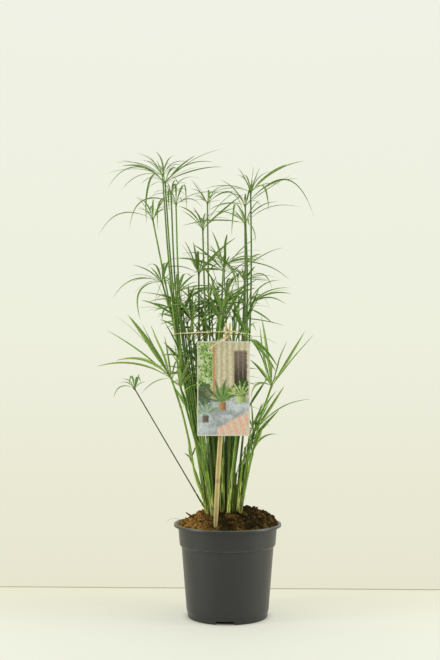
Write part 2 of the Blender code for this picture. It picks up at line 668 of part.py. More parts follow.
def spread_stems(crowns, paths):
    """Move the stems in depth, except at their hubs, until none touches another."""
    levels = np.arange(PLATEAU_TOP, max(path[-1, 2] for path in paths), 6.0 * MM)
    sizes = []
    for crown, path in zip(crowns, paths):
        size = np.interp(levels, path[:, 2], stem_radii(path, crown.slender))
        size[np.abs(levels - path[-1, 2]) < 2.0 * HUB_CLEARANCE] = HUB_CLEARANCE
        sizes.append(np.where(levels > path[-1, 2] + HUB_CLEARANCE, np.nan, size))
    need = np.array(sizes)[:, None] + np.array(sizes)[None] + STEM_SPACE
    order = np.sign(np.subtract.outer(np.arange(len(paths)), np.arange(len(paths))))[:, :, None]
    for _ in range(STEM_ROUNDS):
        across = np.array([np.interp(levels, path[:, 2], path[:, 0]) for path in paths])
        depth = np.array([np.interp(levels, path[:, 2], path[:, 1]) for path in paths])
        aside, behind = across[:, None] - across[None], depth[:, None] - depth[None]
        lack = np.nan_to_num(np.maximum(need - np.hypot(aside, behind), 0.0)) * (order != 0)
        if lack.max() < STEM_SPACE / 4.0:
            break
        side = np.where(np.abs(behind) < 0.05 * MM, order, np.sign(behind))
        push = (0.5 * lack * side).sum(axis=1)
        for path, shift in zip(paths, push):
            knots = path[:, 2]
            for index in range(len(knots) - 1):
                hat = np.interp(levels, knots, np.eye(len(knots))[index], left=0.0, right=0.0)
                weight = (hat * (shift != 0.0)).sum()
                if weight > 0.0:
                    path[index, 1] += (hat * shift).sum() / weight


def stand_on(paths, crowns, ground):
    """Set each stem's foot just above the soil, all round its edge."""
    for crown, path in zip(crowns, paths):
        radius = stem_radii(path, crown.slender)[0]
        run = path[1] - path[0]
        tilt = math.hypot(run[0], run[1]) / np.linalg.norm(run)
        spots = [(0.0, 0.0)] + [
            (reach * math.cos(turn), reach * math.sin(turn))
            for reach in (0.6 * radius, 1.1 * radius) for turn in (math.tau * k / 8 for k in range(8))
        ]
        tops = [ground.ray_cast(Vector((path[0, 0] + x, path[0, 1] + y, 1.0)), (0, 0, -1))[0].z
                for x, y in spots]
        path[0, 2] = max(tops) + radius * tilt + GAP


def gaps(first, second):
    """Clear distance between each tapered round segment of first and each one of second."""
    start_a, start_b = first[:, None, 0:3], second[None, :, 0:3]
    run_a, run_b = first[:, None, 3:6] - start_a, second[None, :, 3:6] - start_b
    apart = start_a - start_b
    aa, bb, ab = (run_a**2).sum(-1), (run_b**2).sum(-1), (run_a * run_b).sum(-1)
    ra, rb = (run_a * apart).sum(-1), (run_b * apart).sum(-1)
    spread = np.maximum(aa * bb - ab**2, 1e-18)
    s = np.clip((ab * rb - ra * bb) / spread, 0.0, 1.0)
    t = (ab * s + rb) / bb
    s = np.where(t < 0.0, np.clip(-ra / aa, 0.0, 1.0), s)
    s = np.where(t > 1.0, np.clip((ab - ra) / aa, 0.0, 1.0), s)
    t = np.clip(t, 0.0, 1.0)
    between = start_a + s[..., None] * run_a - start_b - t[..., None] * run_b
    size_a = first[:, None, 6] + s * (first[:, None, 7] - first[:, None, 6])
    size_b = second[None, :, 6] + t * (second[None, :, 7] - second[None, :, 6])
    return np.linalg.norm(between, axis=-1) - size_a - size_b


class Thicket:
    """What stands already, as tapered round segments, so that new leaves keep clear of it."""

    def __init__(self):
        self.segments = np.zeros((0, 8))
        self.owners = np.zeros(0, dtype=int)
        self.inner = np.zeros(0, dtype=bool)

    def add(self, points, radii, owner=-1, inner=0):
        """Take in a line of points; its first inner segments lie inside their own crown's hub."""
        segments = chain(points, radii)
        self.segments = np.vstack((self.segments, segments))
        self.owners = np.append(self.owners, np.full(len(segments), owner))
        self.inner = np.append(self.inner, np.arange(len(segments)) < inner)

    def clearance(self, points, radii, owner):
        """Least gap to the others, and to the leaves of the same crown."""
        found = gaps(chain(points, radii), self.segments)
        same = self.owners == owner
        others = found[:, ~same].min()
        found[0, same] = 1.0
        found[:, self.inner & same] = 1.0
        return others, found[:, same].min() if same.any() else 1.0


def chain(points, radii):
    """Segments of a line of points with their radii, one row each."""
    points, radii = np.asarray(points), np.asarray(radii)
    return np.column_stack((points[:-1], points[1:], radii[:-1], radii[1:]))


class Leaf:
    """One blade: its hub and tip, how far it arches, its width, and how much it faces the front."""

    def __init__(self, hub, tip, arch, width, shown=0.0):
        self.hub, self.tip, self.arch, self.width, self.shown = hub, tip, arch, width, shown
        self.length = float(np.linalg.norm(tip - hub))
        bent = self.length > LONG_LEAF * CM or arch > STEADY_ARCH
        self.rings = LONG_LEAF_RINGS if bent else SHORT_LEAF_RINGS

    @property
    def bearing(self):
        """Direction of the tip from the hub, as an angle about Z."""
        return math.atan2(self.tip[1] - self.hub[1], self.tip[0] - self.hub[0])

    def line(self, steps):
        """Points of the arched middle line, at steps from 0 at the hub's side to 1 at the tip."""
        out = np.array((math.cos(self.bearing), math.sin(self.bearing), 0.0))
        root = self.hub + out * ROOT_REACH + UP * ROOT_RISE
        chord = self.tip - root
        lift = UP - chord * (UP @ chord) / (chord @ chord)
        lift = lift / max(np.linalg.norm(lift), 1e-6)
        crest = (root + self.tip) / 2 + 2.0 * self.arch * self.length * lift
        short = LEAST_LEAN * (chord @ out) - (crest - root) @ out
        crest = crest + out * max(short, 0.0)
        t = np.array(steps)[:, None]
        return (1 - t) ** 2 * root + 2 * t * (1 - t) * crest + t**2 * self.tip

    def strand(self):
        """The blade as a line of points with radii; its first short stretch is in the hub's reach."""
        steps = [step for step, _ in self.rings]
        points = self.line([0.0, *steps, 1.0])
        halves = [ROOT_HALF, *(0.5 * self.width * share for _, share in self.rings), 0.1 * MM]
        share = min(HUB_REACH / np.linalg.norm(points[1] - points[0]), 0.9)
        middle = points[0] + (points[1] - points[0]) * share
        half = halves[0] + (halves[1] - halves[0]) * share
        return np.insert(points, 1, middle, axis=0), np.insert(np.array(halves), 1, half)

    def sections(self):
        """Left edge, right edge and ridge of each ring along the blade."""
        middles = self.line([0.0, *(step for step, _ in self.rings), 1.0])
        flat = np.cross(UP, (math.cos(self.bearing), math.sin(self.bearing), 0.0))
        side = flat
        result = []
        for index, (_, share) in enumerate(self.rings, start=1):
            run = middles[index + 1] - middles[index - 1]
            run = run / np.linalg.norm(run)
            facing = np.cross(AWAY, run)
            turned = self.shown * min(1.0, np.linalg.norm(facing)) * BLADE_TURN
            facing = facing if facing @ side >= 0.0 else -facing
            side = flat * (1.0 - turned) + turned * facing / max(np.linalg.norm(facing), 1e-6)
            side = side - run * (side @ run)
            side = side / np.linalg.norm(side)
            ridge = np.cross(run, side) * BLADE_THICKNESS * (0.5 + 0.5 * share)
            edge = side * self.width * share / 2
            middle = middles[index]
            result.append((middle + edge - ridge / 3, middle - edge - ridge / 3, middle + ridge * 2 / 3))
        return result


def clear_leaf(thicket, owner, choices):
    """The first of the choices that is clear of everything, or the clearest; None if all touch."""
    best, best_own = None, -1.0
    for leaf in choices:
        others, own = thicket.clearance(*leaf.strand(), owner)
        if others < LEAF_SPACE:
            continue
        if own > 0.0:
            best = leaf
            break
        if own > best_own:
            best, best_own = leaf, own
    if best is not None:
        thicket.add(*best.strand(), owner=owner, inner=1)
    return best


def measured_choices(crown, leaf):
    """A measured leaf, at depths and arches that leave its tip where it is seen."""
    across, up, away, arch, width = leaf
    hub = placed(*crown.hub)
    seen = width * MM
    broad = max(1.1 * seen, THINNEST_LEAF)
    for more in ARCH_SHIFTS:
        for shift in DEPTH_SHIFTS:
            tip = placed(crown.hub[0] + across, crown.hub[1] + up, crown.hub[2] + away + shift)
            yield Leaf(hub, tip, arch + more, broad, min(1.0, seen / broad) ** 1.5)


def fill_choices(crown, bearing, rise, share, width):
    """A further leaf of a crown in an open direction, nudged round and up."""
    hub = placed(*crown.hub)
    for lift in RISE_SHIFTS:
        for turn in TURN_SHIFTS:
            angle = bearing + math.radians(turn)
            up = math.radians(rise + lift)
            reach = FILL_SIDE_LENGTH + (FILL_DEEP_LENGTH - FILL_SIDE_LENGTH) * abs(math.sin(angle))
            run = np.array((math.cos(up) * math.cos(angle), math.cos(up) * math.sin(angle), math.sin(up)))
            yield Leaf(hub, hub + run * reach * share, 0.12 + 0.1 * share, width)


def widest_gap(bearings):
    """Middle of the widest gap between bearings."""
    ordered = sorted(bearings)
    following = ordered[1:] + ordered[:1]
    spans = [(after - bearing) % math.tau or math.tau for bearing, after in zip(ordered, following)]
    widest = max(range(len(spans)), key=spans.__getitem__)
    return ordered[widest] + spans[widest] / 2.0


def grow_leaves(crowns, thicket):
    """The leaves of every crown: the measured ones first, then others that fill its open sides."""
    rng = random.Random(SEED)
    grown = [[] for _ in crowns]
    for owner, crown in enumerate(crowns):
        for leaf in crown.leaves:
            found = clear_leaf(thicket, owner, measured_choices(crown, leaf))
            if found is not None:
                grown[owner].append(found)
    for owner, crown in enumerate(crowns):
        bearings = [leaf.bearing for leaf in grown[owner]]
        for _ in range(crown.count - len(grown[owner])):
            bearing = widest_gap(bearings) + rng.uniform(-0.15, 0.15)
            rise, share, width = rng.uniform(2.0, 36.0), rng.uniform(0.65, 1.05), rng.uniform(2.8, 4.4)
            found = clear_leaf(thicket, owner, fill_choices(crown, bearing, rise, share, width * MM))
            bearings.append(bearing)
            if found is not None:
                grown[owner].append(found)
    return grown


def hub_corners(leaves):
    """Angles of the hub's corners, and the leaves in the order of the faces between them."""
    ordered = sorted(leaves, key=lambda leaf: leaf.bearing)
    roots = [leaf.bearing for leaf in ordered]
    count = len(roots)
    for _ in range(200):
        for k in range(count):
            after = (k + 1) % count
            short = HUB_SECTOR - (roots[after] - roots[k]) % math.tau
            if short > 0.0:
                roots[k] -= short / 2.0
                roots[after] += short / 2.0
    corners = []
    for k in range(count):
        step = (roots[k] - roots[k - 1]) % math.tau
        corners.append(roots[k] - step / 2.0)
    return corners, ordered


def crown_body(hub, axis, leaves, lower_radius):
    """A small faceted hub whose upper faces are drawn out into the leaves."""
    corners, ordered = hub_corners(leaves)
    count = len(corners)
    bm = bmesh.new()
    bmesh.ops.create_cone(
        bm, cap_ends=True, segments=count, radius1=1.0, radius2=2.0, depth=HUB_DROP,
        matrix=Matrix.Translation((0.0, 0.0, -HUB_DROP / 2.0)),
    )
    upper = sorted((v for v in bm.verts if v.co.z > -HUB_DROP / 2.0), key=turn_of)
    lower = sorted((v for v in bm.verts if v.co.z < -HUB_DROP / 2.0), key=turn_of)
    turned = Vector(UP).rotation_difference(axis).to_matrix()
    for ring, radius, height in ((upper, HUB_RADIUS, 0.0), (lower, lower_radius, -HUB_DROP)):
        for vertex, angle in zip(ring, corners):
            place = Vector((radius * math.cos(angle), radius * math.sin(angle), height))
            vertex.co = hub + turned @ place
    cap = next(face for face in bm.faces if all(vertex in upper for vertex in face.verts))
    poked = bmesh.ops.poke(bm, faces=[cap])
    peak = poked["verts"][0]
    peak.co = hub + turned @ Vector((0.0, 0.0, HUB_RISE))
    faces = {}
    for face in poked["faces"]:
        first, second = (upper.index(vertex) for vertex in face.verts if vertex is not peak)
        faces[first if (first + 1) % count == second else second] = face
    for index, leaf in enumerate(ordered):
        draw_leaf(bm, faces[index], upper[(index + 1) % count], upper[index], peak, leaf)
    bmesh.ops.recalc_face_normals(bm, faces=bm.faces)
    return bm, lower


def turn_of(vertex):
    """Angle of a vertex about Z, from 0 to a full turn."""
    return math.atan2(vertex.co.y, vertex.co.x) % math.tau


def draw_leaf(bm, face, left, right, ridge, leaf):
    """Draw one face of the hub out along a leaf, ring by ring, to its pointed tip."""
    ends = [left, right, ridge]
    for section in leaf.sections():
        face = bmesh.ops.extrude_discrete_faces(bm, faces=[face])["faces"][0]
        ends = [min(face.verts, key=lambda v, old=old: (v.co - old.co).length) for old in ends]
        for vertex, place in zip(ends, section):
            vertex.co = Vector(place)
    tip = bmesh.ops.poke(bm, faces=[face])["verts"][0]
    tip.co = Vector(leaf.tip)


def mesh_of(bm, name):
    """A mesh with what a bmesh holds."""
    mesh = bpy.data.meshes.new(name)
    bm.to_mesh(mesh)
    bm.free()
    return mesh


def tie_path(crowns, paths):
    """Middle of the raffia tie: drawn tight round the tall stems and the back of the cane."""
    around = []
    for crown, path in zip(crowns, paths):
        if path[-1, 2] < TIE_HEIGHT + HUB_CLEARANCE:
            continue
        middle = [np.interp(TIE_HEIGHT, path[:, 2], path[:, axis]) for axis in (0, 1)]
        reach = np.interp(TIE_HEIGHT, path[:, 2], stem_radii(path, crown.slender)) + TIE_RADIUS + 2.0 * GAP
        for k in range(12):
            turn = math.tau * k / 12
            around.append((middle[0] + reach * math.cos(turn), middle[1] + reach * math.sin(turn)))
    cane = stake_at(TIE_HEIGHT)
    around.append((cane.x, cane.y + STAKE_DEPTH / 2.0 + TIE_RADIUS + 2.0 * GAP))
    outline = [around[index] for index in convex_hull_2d([Vector(point) for point in around])]
    middle = (max(x for x, _ in outline) + min(x for x, _ in outline)) / 2.0
    half = (max(x for x, _ in outline) - min(x for x, _ in outline)) / 2.0
    kept = []
    for x, y in outline:
        if kept and math.hypot(x - kept[-1][0], y - kept[-1][1]) < 2.0 * TIE_RADIUS:
            continue
        kept.append((x, y, TIE_HEIGHT - TIE_SAG * ((x - middle) / half) ** 2))
    return kept


def make_stem(name, path, radii):
    """One stem with its sheath, a tapered tube."""
    add_part(name, tube_data(name, path, max(radii), STEM_RESOLUTION, radii), "stem")


def make_shoot(name, path, radii, leaves):
    """A young shoot, whose sheath and first blades are still one piece."""
    top = Vector(path[-1])
    axis = (top - Vector(path[-2])).normalized()
    bm, lower = crown_body(top, axis, leaves, radii[-2])
    end = next(face for face in bm.faces if all(vertex in lower for vertex in face.verts))
    middle = end.calc_center_median()
    for place, radius in zip(reversed(path[:-1]), reversed(radii[:-1])):
        end = bmesh.ops.extrude_discrete_faces(bm, faces=[end])["faces"][0]
        spread = radius / max((vertex.co - middle).length for vertex in end.verts)
        for vertex in end.verts:
            vertex.co = Vector(place) + (vertex.co - middle) * spread
        middle = Vector(place)
    bmesh.ops.recalc_face_normals(bm, faces=bm.faces)
    add_part(name, mesh_of(bm, name), "shoot")


def fill_thicket(crowns, paths):
    """Everything that the leaves have to keep clear of, before any leaf has grown."""
    thicket = Thicket()
    for owner, (crown, path) in enumerate(zip(crowns, paths)):
        radii = stem_radii(path, crown.slender)
        thicket.add(path[::-1], radii[::-1], owner=owner, inner=0)
        ends = (path[-1] - UP * HUB_DROP, path[-1] + UP * HUB_RISE)
        thicket.add(ends, (HUB_RADIUS, HUB_RADIUS), owner=owner, inner=1)
    foot, top = stake_line()
    thicket.add((foot, top), (STAKE_WIDTH / 2.0, STAKE_WIDTH / 2.0))
    tie = tie_path(crowns, paths)
    thicket.add([*tie, tie[0]], np.full(len(tie) + 1, TIE_RADIUS))
    loop = loop_path()
    thicket.add([*loop, loop[0]], np.full(len(loop) + 1, LOOP_RADIUS))
    centre = placed(*TAG_CENTRE)
    for x in np.arange(-TAG_WIDTH / 2.0, TAG_WIDTH / 2.0 + TAG_BAR_STEP / 2.0, TAG_BAR_STEP):
        middle = centre + np.array((x, 0.0, 0.0))
        half = UP * TAG_HEIGHT / 2.0
        thicket.add((middle - half, middle + half), (TAG_BAR_STEP / 2.0, TAG_BAR_STEP / 2.0))
    return thicket


def make_plant(soil):
    """The stems, their leaf crowns, the young shoots and the raffia tie round the stems."""
    growths = (*CROWNS, *SHOOTS)
    ground = BVHTree.FromPolygons([v.co for v in soil.vertices], [p.vertices for p in soil.polygons])
    paths = [first_path(crown) for crown in growths]
    spread_stems(growths, paths)
    stand_on(paths, growths, ground)
    tie = tie_path(growths, paths)
    add_part("raffia_tie", tube_data("raffia_tie", tie, TIE_RADIUS, 1, closed=True), "raffia")
    leaves = grow_leaves(growths, fill_thicket(growths, paths))
    for number, (crown, path, blades) in enumerate(zip(CROWNS, paths, leaves), start=1):
        radii = stem_radii(path, crown.slender)
        hub = Vector(path[-1])
        axis = (hub - Vector(path[-2])).normalized()
        bm, _ = crown_body(hub, axis, blades, radii[-1])
        name = f"leaf_crown_{number:02d}"
        add_part(name, mesh_of(bm, name), "leaf")
        stem = path.copy()
        stem[-1] = hub - axis * (HUB_DROP + GAP)
        make_stem(f"stem_{number:02d}", stem, radii)
    first = len(CROWNS)
    for number, (crown, path, blades) in enumerate(zip(SHOOTS, paths[first:], leaves[first:]), start=1):
        make_shoot(f"shoot_{number:02d}", path, stem_radii(path, crown.slender), blades)


def main():
    """Build the potted plant in an emptied scene."""
    for item in list(bpy.data.objects):
        bpy.data.objects.remove(item)
    make_pot()
    soil = make_soil()
    make_stake()
    make_tag()
    add_part("tag_loop", tube_data("tag_loop", loop_path(), LOOP_RADIUS, 1, closed=True), "raffia")
    make_plant(soil)


main()
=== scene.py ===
"""A papyrus plant in its nursery pot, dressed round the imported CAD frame.

The solids say where each piece is: stems and leaves are drawn along the middle lines that are
read from them. Lengths are in metres, the front is -Y and +Z is up.
"""

import logging
import math
import random
from dataclasses import dataclass, field
from enum import Enum
from functools import cached_property
from typing import Optional, Sequence, Union

import bmesh
import bpy
import numpy as np
from mathutils import Matrix, Vector, noise
from mathutils.bvhtree import BVHTree
from mathutils.geometry import convex_hull_2d


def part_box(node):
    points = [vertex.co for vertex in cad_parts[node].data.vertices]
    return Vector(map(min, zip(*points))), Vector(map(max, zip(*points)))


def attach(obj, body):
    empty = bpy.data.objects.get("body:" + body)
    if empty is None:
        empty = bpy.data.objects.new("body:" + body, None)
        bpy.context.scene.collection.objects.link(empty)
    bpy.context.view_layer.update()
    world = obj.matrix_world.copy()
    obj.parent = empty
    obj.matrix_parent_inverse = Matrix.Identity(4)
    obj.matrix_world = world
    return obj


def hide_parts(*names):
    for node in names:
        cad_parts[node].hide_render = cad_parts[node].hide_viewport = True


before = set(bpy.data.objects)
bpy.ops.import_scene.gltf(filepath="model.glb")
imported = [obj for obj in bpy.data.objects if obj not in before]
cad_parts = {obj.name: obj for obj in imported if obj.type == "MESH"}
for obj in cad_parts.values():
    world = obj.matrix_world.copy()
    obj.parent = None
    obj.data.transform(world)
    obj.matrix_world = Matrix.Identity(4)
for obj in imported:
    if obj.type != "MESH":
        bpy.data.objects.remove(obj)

LOG = logging.getLogger("potted_papyrus")
MM = 0.001
UP = np.array((0.0, 0.0, 1.0))
RIGHT = np.array((1.0, 0.0, 0.0))
WELD = 0.002 * MM

Array = np.ndarray
Mesh = bpy.types.Mesh
Object = bpy.types.Object
Material = bpy.types.Material
Socket = bpy.types.NodeSocket
Pair = tuple[float, float]
Colour = tuple[float, float, float]
Point = tuple[float, float, float]
Numbers = Union[float, Array]
Feed = Union["Level", Socket, float, Sequence[float]]


class Slot(Enum):
    """The record's material slots."""

    POT = "pot"
    SOIL = "soil"
    STEM = "stem"
    LEAF = "leaf"
    SHOOT = "shoot"
    CANE = "cane"
    CARD = "card"
    RAFFIA = "raffia"


class Age(Enum):
    """How far along a growth is, which sets how bright its green is; the darkest kind is no age but a darker
    copy, painted shade for thin stems that stand behind the others.
    """

    YOUNG = "young"
    GROWN = "grown"
    # Painted shade: darker stem colours for the stems behind, not an age.
    SHADED_BEHIND = "shaded_behind"
    DRYING = "drying"


def unit(vector: Array) -> Array:
    """The vector, or each row of vectors, at length 1."""
    return vector / np.maximum(np.linalg.norm(vector, axis=-1, keepdims=True), 1e-12)


def ease(low: float, high: float, value: Array) -> Array:
    """A smooth step from 0 at low to 1 at high."""
    share = np.clip((value - low) / (high - low), 0.0, 1.0)
    return share * share * (3.0 - 2.0 * share)


def all_round(count: int, first: float = 0.0) -> list[float]:
    """Even angles all round, from this share of a step on."""
    return [math.tau * (index + first) / count for index in range(count)]


def arc(x: float, y: float, radius: float, angles: Sequence[float]) -> list[Pair]:
    """Places at these angles on a circle round (x, y)."""
    return [(x + radius * math.cos(angle), y + radius * math.sin(angle)) for angle in angles]


def run_of(points: Array) -> Array:
    """How far along a line each of its points is."""
    return np.concatenate(([0.0], np.cumsum(np.linalg.norm(np.diff(points, axis=0), axis=1))))


def at_steps(steps: Array, known: Array, points: Array) -> Array:
    """Points of a line at new steps, from the steps at which it is known."""
    return np.stack([np.interp(steps, known, points[:, axis]) for axis in range(3)], axis=1)


def wavering(x: float, y: float, levels: Array) -> Array:
    """Cloudy chance from -1 to 1 at the levels over a place (x, y)."""
    return np.array([noise.noise(Vector((x, y, level))) for level in levels])


def marked(x: Numbers, y: Numbers, z: Numbers) -> Array:
    """The three detail numbers of each point of a line."""
    return np.stack(np.broadcast_arrays(x, y, z), axis=-1).astype(float)


def turned(vectors: Array, axes: Array, angles: Numbers) -> Array:
    """Vectors square to their unit axes, turned about them by one angle or by one each."""
    angles = np.broadcast_to(angles, len(vectors))[:, None]
    return vectors * np.cos(angles) + np.cross(axes, vectors) * np.sin(angles)


def through(points: Array, count: int, closed: bool = False, per_span: int = 12) -> Array:
    """A smooth line through points.

    Args:
        points: The points to pass through.
        count: How many points to return.
        closed: Whether the line comes back to its start.
        per_span: How many steps are worked out between two of the points.

    Returns:
        Points at even steps along the line.
    """
    points = np.asarray(points, float)
    if closed:
        padded = np.vstack((points[-1], points, points[:2]))
    else:
        first, last = 2 * points[0] - points[1], 2 * points[-1] - points[-2]
        padded = np.vstack((first, points, last))
    t = np.linspace(0.0, 1.0, per_span + 1)[:-1, None]
    fine = []
    for index in range(len(padded) - 3):
        a, b, c, d = padded[index:index + 4]
        fine.append(0.5 * (2 * b + (c - a) * t + (2 * a - 5 * b + 4 * c - d) * t**2
                           + (3 * b - a - 3 * c + d) * t**3))
    fine = np.vstack((*fine, padded[-2]))
    run = run_of(fine)
    line = at_steps(np.linspace(0.0, run[-1], count + 1 if closed else count), run, fine)
    return line[:-1] if closed else line


def carried(points: Array, side: Array, closed: bool = False) -> tuple[Array, Array]:
    """Directions along a line, and a side carried along it without twist.

    Args:
        points: The line.
        side: A vector that the first side is close to.
        closed: Whether the line comes back to its start.

    Returns:
        The unit directions and the unit sides, one a point.
    """
    if closed:
        runs = unit(np.roll(points, -1, axis=0) - np.roll(points, 1, axis=0))
    else:
        runs = unit(np.gradient(points, axis=0))
    sides = np.empty_like(runs)
    for index, run in enumerate(runs):
        side = unit(side - run * (side @ run))
        sides[index] = side
    return runs, sides


class Level:
    """A number that a material works out at each point, to be used in plain arithmetic."""

    def __init__(self, graph: "Graph", socket: Socket) -> None:
        """Wrap a node's number."""
        self.graph = graph
        self.socket = socket

    def __add__(self, other: Feed) -> "Level":
        """The sum."""
        return self.graph.math("ADD", self, other)

    def __sub__(self, other: Feed) -> "Level":
        """The difference."""
        return self.graph.math("SUBTRACT", self, other)

    def __mul__(self, other: Feed) -> "Level":
        """The product."""
        return self.graph.math("MULTIPLY", self, other)

    def __truediv__(self, other: Feed) -> "Level":
        """The quotient."""
        return self.graph.math("DIVIDE", self, other)

    @property
    def wave(self) -> "Level":
        """The sine."""
        return self.graph.math("SINE", self)

    @property
    def size(self) -> "Level":
        """The number without its sign."""
        return self.graph.math("ABSOLUTE", self)

    def span(self, low: Feed, high: Feed, start: Feed = 0.0, end: Feed = 1.0) -> "Level":
        """The number carried smoothly from low..high to start..end, and held there."""
        values = (self, low, high, start, end)
        return self.graph.level("ShaderNodeMapRange", values, interpolation_type="SMOOTHSTEP")


class Graph:
    """Wires up the nodes of one material."""

    def __init__(self, name: str) -> None:
        """Start a material that has a Principled BSDF.

        Args:
            name: The material's name.
        """
        self.material = bpy.data.materials.new(name)
        self.material.use_nodes = True
        self.tree = self.material.node_tree
        self.shader = self.tree.nodes["Principled BSDF"]

    def node(self, kind: str, **settings: object) -> bpy.types.Node:
        """A new node of this kind with these settings.

        Args:
            kind: The node's kind.
            settings: Its settings, by name.

        Returns:
            The node.
        """
        made = self.tree.nodes.new(kind)
        for key, value in settings.items():
            setattr(made, key, value)
        return made

    def feed(self, target: Socket, source: Feed) -> None:
        """Link source to target, or set target to it.

        Args:
            target: The socket that takes it.
            source: A socket, a number or a colour.
        """
        if isinstance(source, Level):
            source = source.socket
        if isinstance(source, Socket):
            self.tree.links.new(source, target)
        elif isinstance(source, (int, float)):
            target.default_value = source
        else:
            target.default_value = (*source, 1.0)[:len(target.default_value)]

    def set(self, name: str, source: Feed) -> None:
        """Feed one of the shader's own sockets."""
        self.feed(self.shader.inputs[name], source)

    def fed(self, kind: str, values: Sequence[Feed], **settings: object) -> bpy.types.Node:
        """A new node whose first inputs are fed.

        Args:
            kind: The node's kind.
            values: What its inputs take, in their order.
            settings: Its settings.

        Returns:
            The node.
        """
        made = self.node(kind, **settings)
        for target, value in zip(made.inputs, values):
            self.feed(target, value)
        return made

    def level(self, kind: str, values: Sequence[Feed], **settings: object) -> Level:
        """The number that such a node gives."""
        return Level(self, self.fed(kind, values, **settings).outputs[0])

    @cached_property
    def place(self) -> Socket:
        """The point in the part's frame, in metres."""
        return self.node("ShaderNodeTexCoord").outputs["Object"]

    @cached_property
    def _axes(self) -> bpy.types.Node:
        """The point's place, axis by axis."""
        return self.fed("ShaderNodeSeparateXYZ", (self.place,))

    @cached_property
    def _details(self) -> bpy.types.Node:
        """The point's detail numbers, one by one."""
        read = self.node("ShaderNodeAttribute", attribute_name="detail")
        return self.fed("ShaderNodeSeparateXYZ", (read.outputs["Vector"],))

    def at(self, axis: str) -> Level:
        """The point's place along an axis of the part's frame."""
        return Level(self, self._axes.outputs[axis])

    def detail(self, axis: str) -> Level:
        """One of a point's detail numbers: X across or round, Y along, Z the tone."""
        return Level(self, self._details.outputs[axis])

    def math(self, operation: str, *values: Feed) -> Level:
        """The result of a sum on numbers."""
        return self.level("ShaderNodeMath", values, operation=operation)

    def joined(self, x: Feed, y: Feed, z: Feed) -> Socket:
        """A vector of three numbers."""
        return self.fed("ShaderNodeCombineXYZ", (x, y, z)).outputs[0]

    def noise(self, vector: Feed, scale: float, depth: float = 4.0, rough: float = 0.55) -> Level:
        """Cloudy noise from 0 to 1, at this scale.

        Args:
            vector: The place.
            scale: How many clouds a unit.
            depth: How many finer layers.
            rough: How strong these layers are.

        Returns:
            The noise.
        """
        made = self.node("ShaderNodeTexNoise")
        for name, value in (("Vector", vector), ("Scale", scale), ("Detail", depth), ("Roughness", rough)):
            self.feed(made.inputs[name], value)
        return Level(self, made.outputs["Fac"])

    def grain(self, scales: Point, depth: float, rough: float = 0.55) -> Level:
        """Cloudy noise with a scale of its own along each axis of the part."""
        stretched = self.fed("ShaderNodeVectorMath", (self.place, scales), operation="MULTIPLY")
        return self.noise(stretched.outputs["Vector"], 1.0, depth, rough)

    def mix(self, share: Feed, first: Feed, second: Feed, blend: str = "MIX") -> Socket:
        """The first colour changed to the second by the share.

        Args:
            share: How much of the second shows.
            first: The first colour.
            second: The second colour.
            blend: How the second is laid on.

        Returns:
            The mixed colour.
        """
        made = self.node("ShaderNodeMix", data_type="RGBA", blend_type=blend)
        for index, source in ((0, share), (6, first), (7, second)):
            self.feed(made.inputs[index], source)
        return made.outputs[2]

    def shaded(self, colour: Feed, tone: Level, reach: float, least: float, share: float = 1.0) -> Socket:
        """The colour times least, and reach more where the tone is 1."""
        shade = tone * reach + least
        return self.mix(share, colour, self.joined(shade, shade, shade), "MULTIPLY")

    def painted_side_light(self, colour: Feed, tone: Level) -> Socket:
        """The colour of a stalk with painted light down one side and painted shade down the other, the side
        picked by the tone.
        """
        return self.shaded(colour, (tone * 40.0 + self.detail("X")).wave, 0.42, 0.98)

    def finish(self, colour: Feed, roughness: Feed, relief: Feed, depth: float, strength: float,
               specular: float = 0.5) -> Material:
        """Feed the shader and end the material.

        Args:
            colour: Its base colour.
            roughness: Its roughness.
            relief: The height of its surface, from 0 to 1.
            depth: How high the relief stands where it is 1.
            strength: How much of the relief shows.
            specular: How strong its gloss is.

        Returns:
            The material.
        """
        self.set("Base Color", colour)
        self.set("Roughness", roughness)
        self.set("Specular IOR Level", specular)
        bump = self.node("ShaderNodeBump")
        for name, source in (("Height", relief), ("Distance", depth), ("Strength", strength)):
            self.feed(bump.inputs[name], source)
        self.set("Normal", bump.outputs["Normal"])
        return self.material


@dataclass(frozen=True)
class LeafFinish:
    """A ribbed green blade, yellower at its foot and drying at its tip, with painted light on one half and
    painted shade on the other.
    """

    name: str
    foot: Colour
    light: Colour
    deep: Colour
    dry: Colour = (0.34, 0.24, 0.1)
    aloft: Colour = (0.9, 0.78, 0.86)
    high: Pair = (500.0 * MM, 680.0 * MM)
    veins: float = 38.0
    inner_glow: Colour = (0.6, 1.0, 0.25)

    def material(self) -> Material:
        """Build the blade's material.

        Returns:
            The material.
        """
        graph = Graph(self.name)
        across, along, tone = graph.detail("X"), graph.detail("Y"), graph.detail("Z")
        streaks = graph.noise(graph.joined(across * 9.0, along * 5.0, tone * 31.0), 1.0, 3.0)
        green = graph.mix(streaks.span(0.3, 0.72), self.deep, self.light)
        green = graph.shaded(green, tone, 0.55, 0.72)
        green = graph.mix(graph.at("Z").span(*self.high), green, self.aloft, "MULTIPLY")
        green = graph.mix(along.span(0.0, 0.16, 0.85, 0.0), green, self.foot)
        ribs = (across * self.veins).wave
        green = graph.mix(ribs.span(-0.2, 1.0, 0.0, 0.22), green, self.light)
        # Painted light and shade: one half of the blade lighter than the other, as if lit from one side.
        painted_lit_half = across.span(-0.2, 0.2)
        green = graph.shaded(green, painted_lit_half, 0.42, 0.78)
        keel = across.size.span(0.02, 0.12, 0.4, 0.0)
        green = graph.mix(keel, green, self.light)
        dryness = along + tone * 0.1 - 1.02 + streaks * 0.06
        green = graph.mix(dryness.span(0.0, 0.05), green, self.dry)
        graph.set("Subsurface Weight", 0.3)
        graph.set("Subsurface Radius", self.inner_glow)
        graph.set("Subsurface Scale", 1.5 * MM)
        return graph.finish(green, streaks.span(0.2, 0.8, 0.34, 0.52), ribs, 0.05 * MM, 0.6, 0.3)


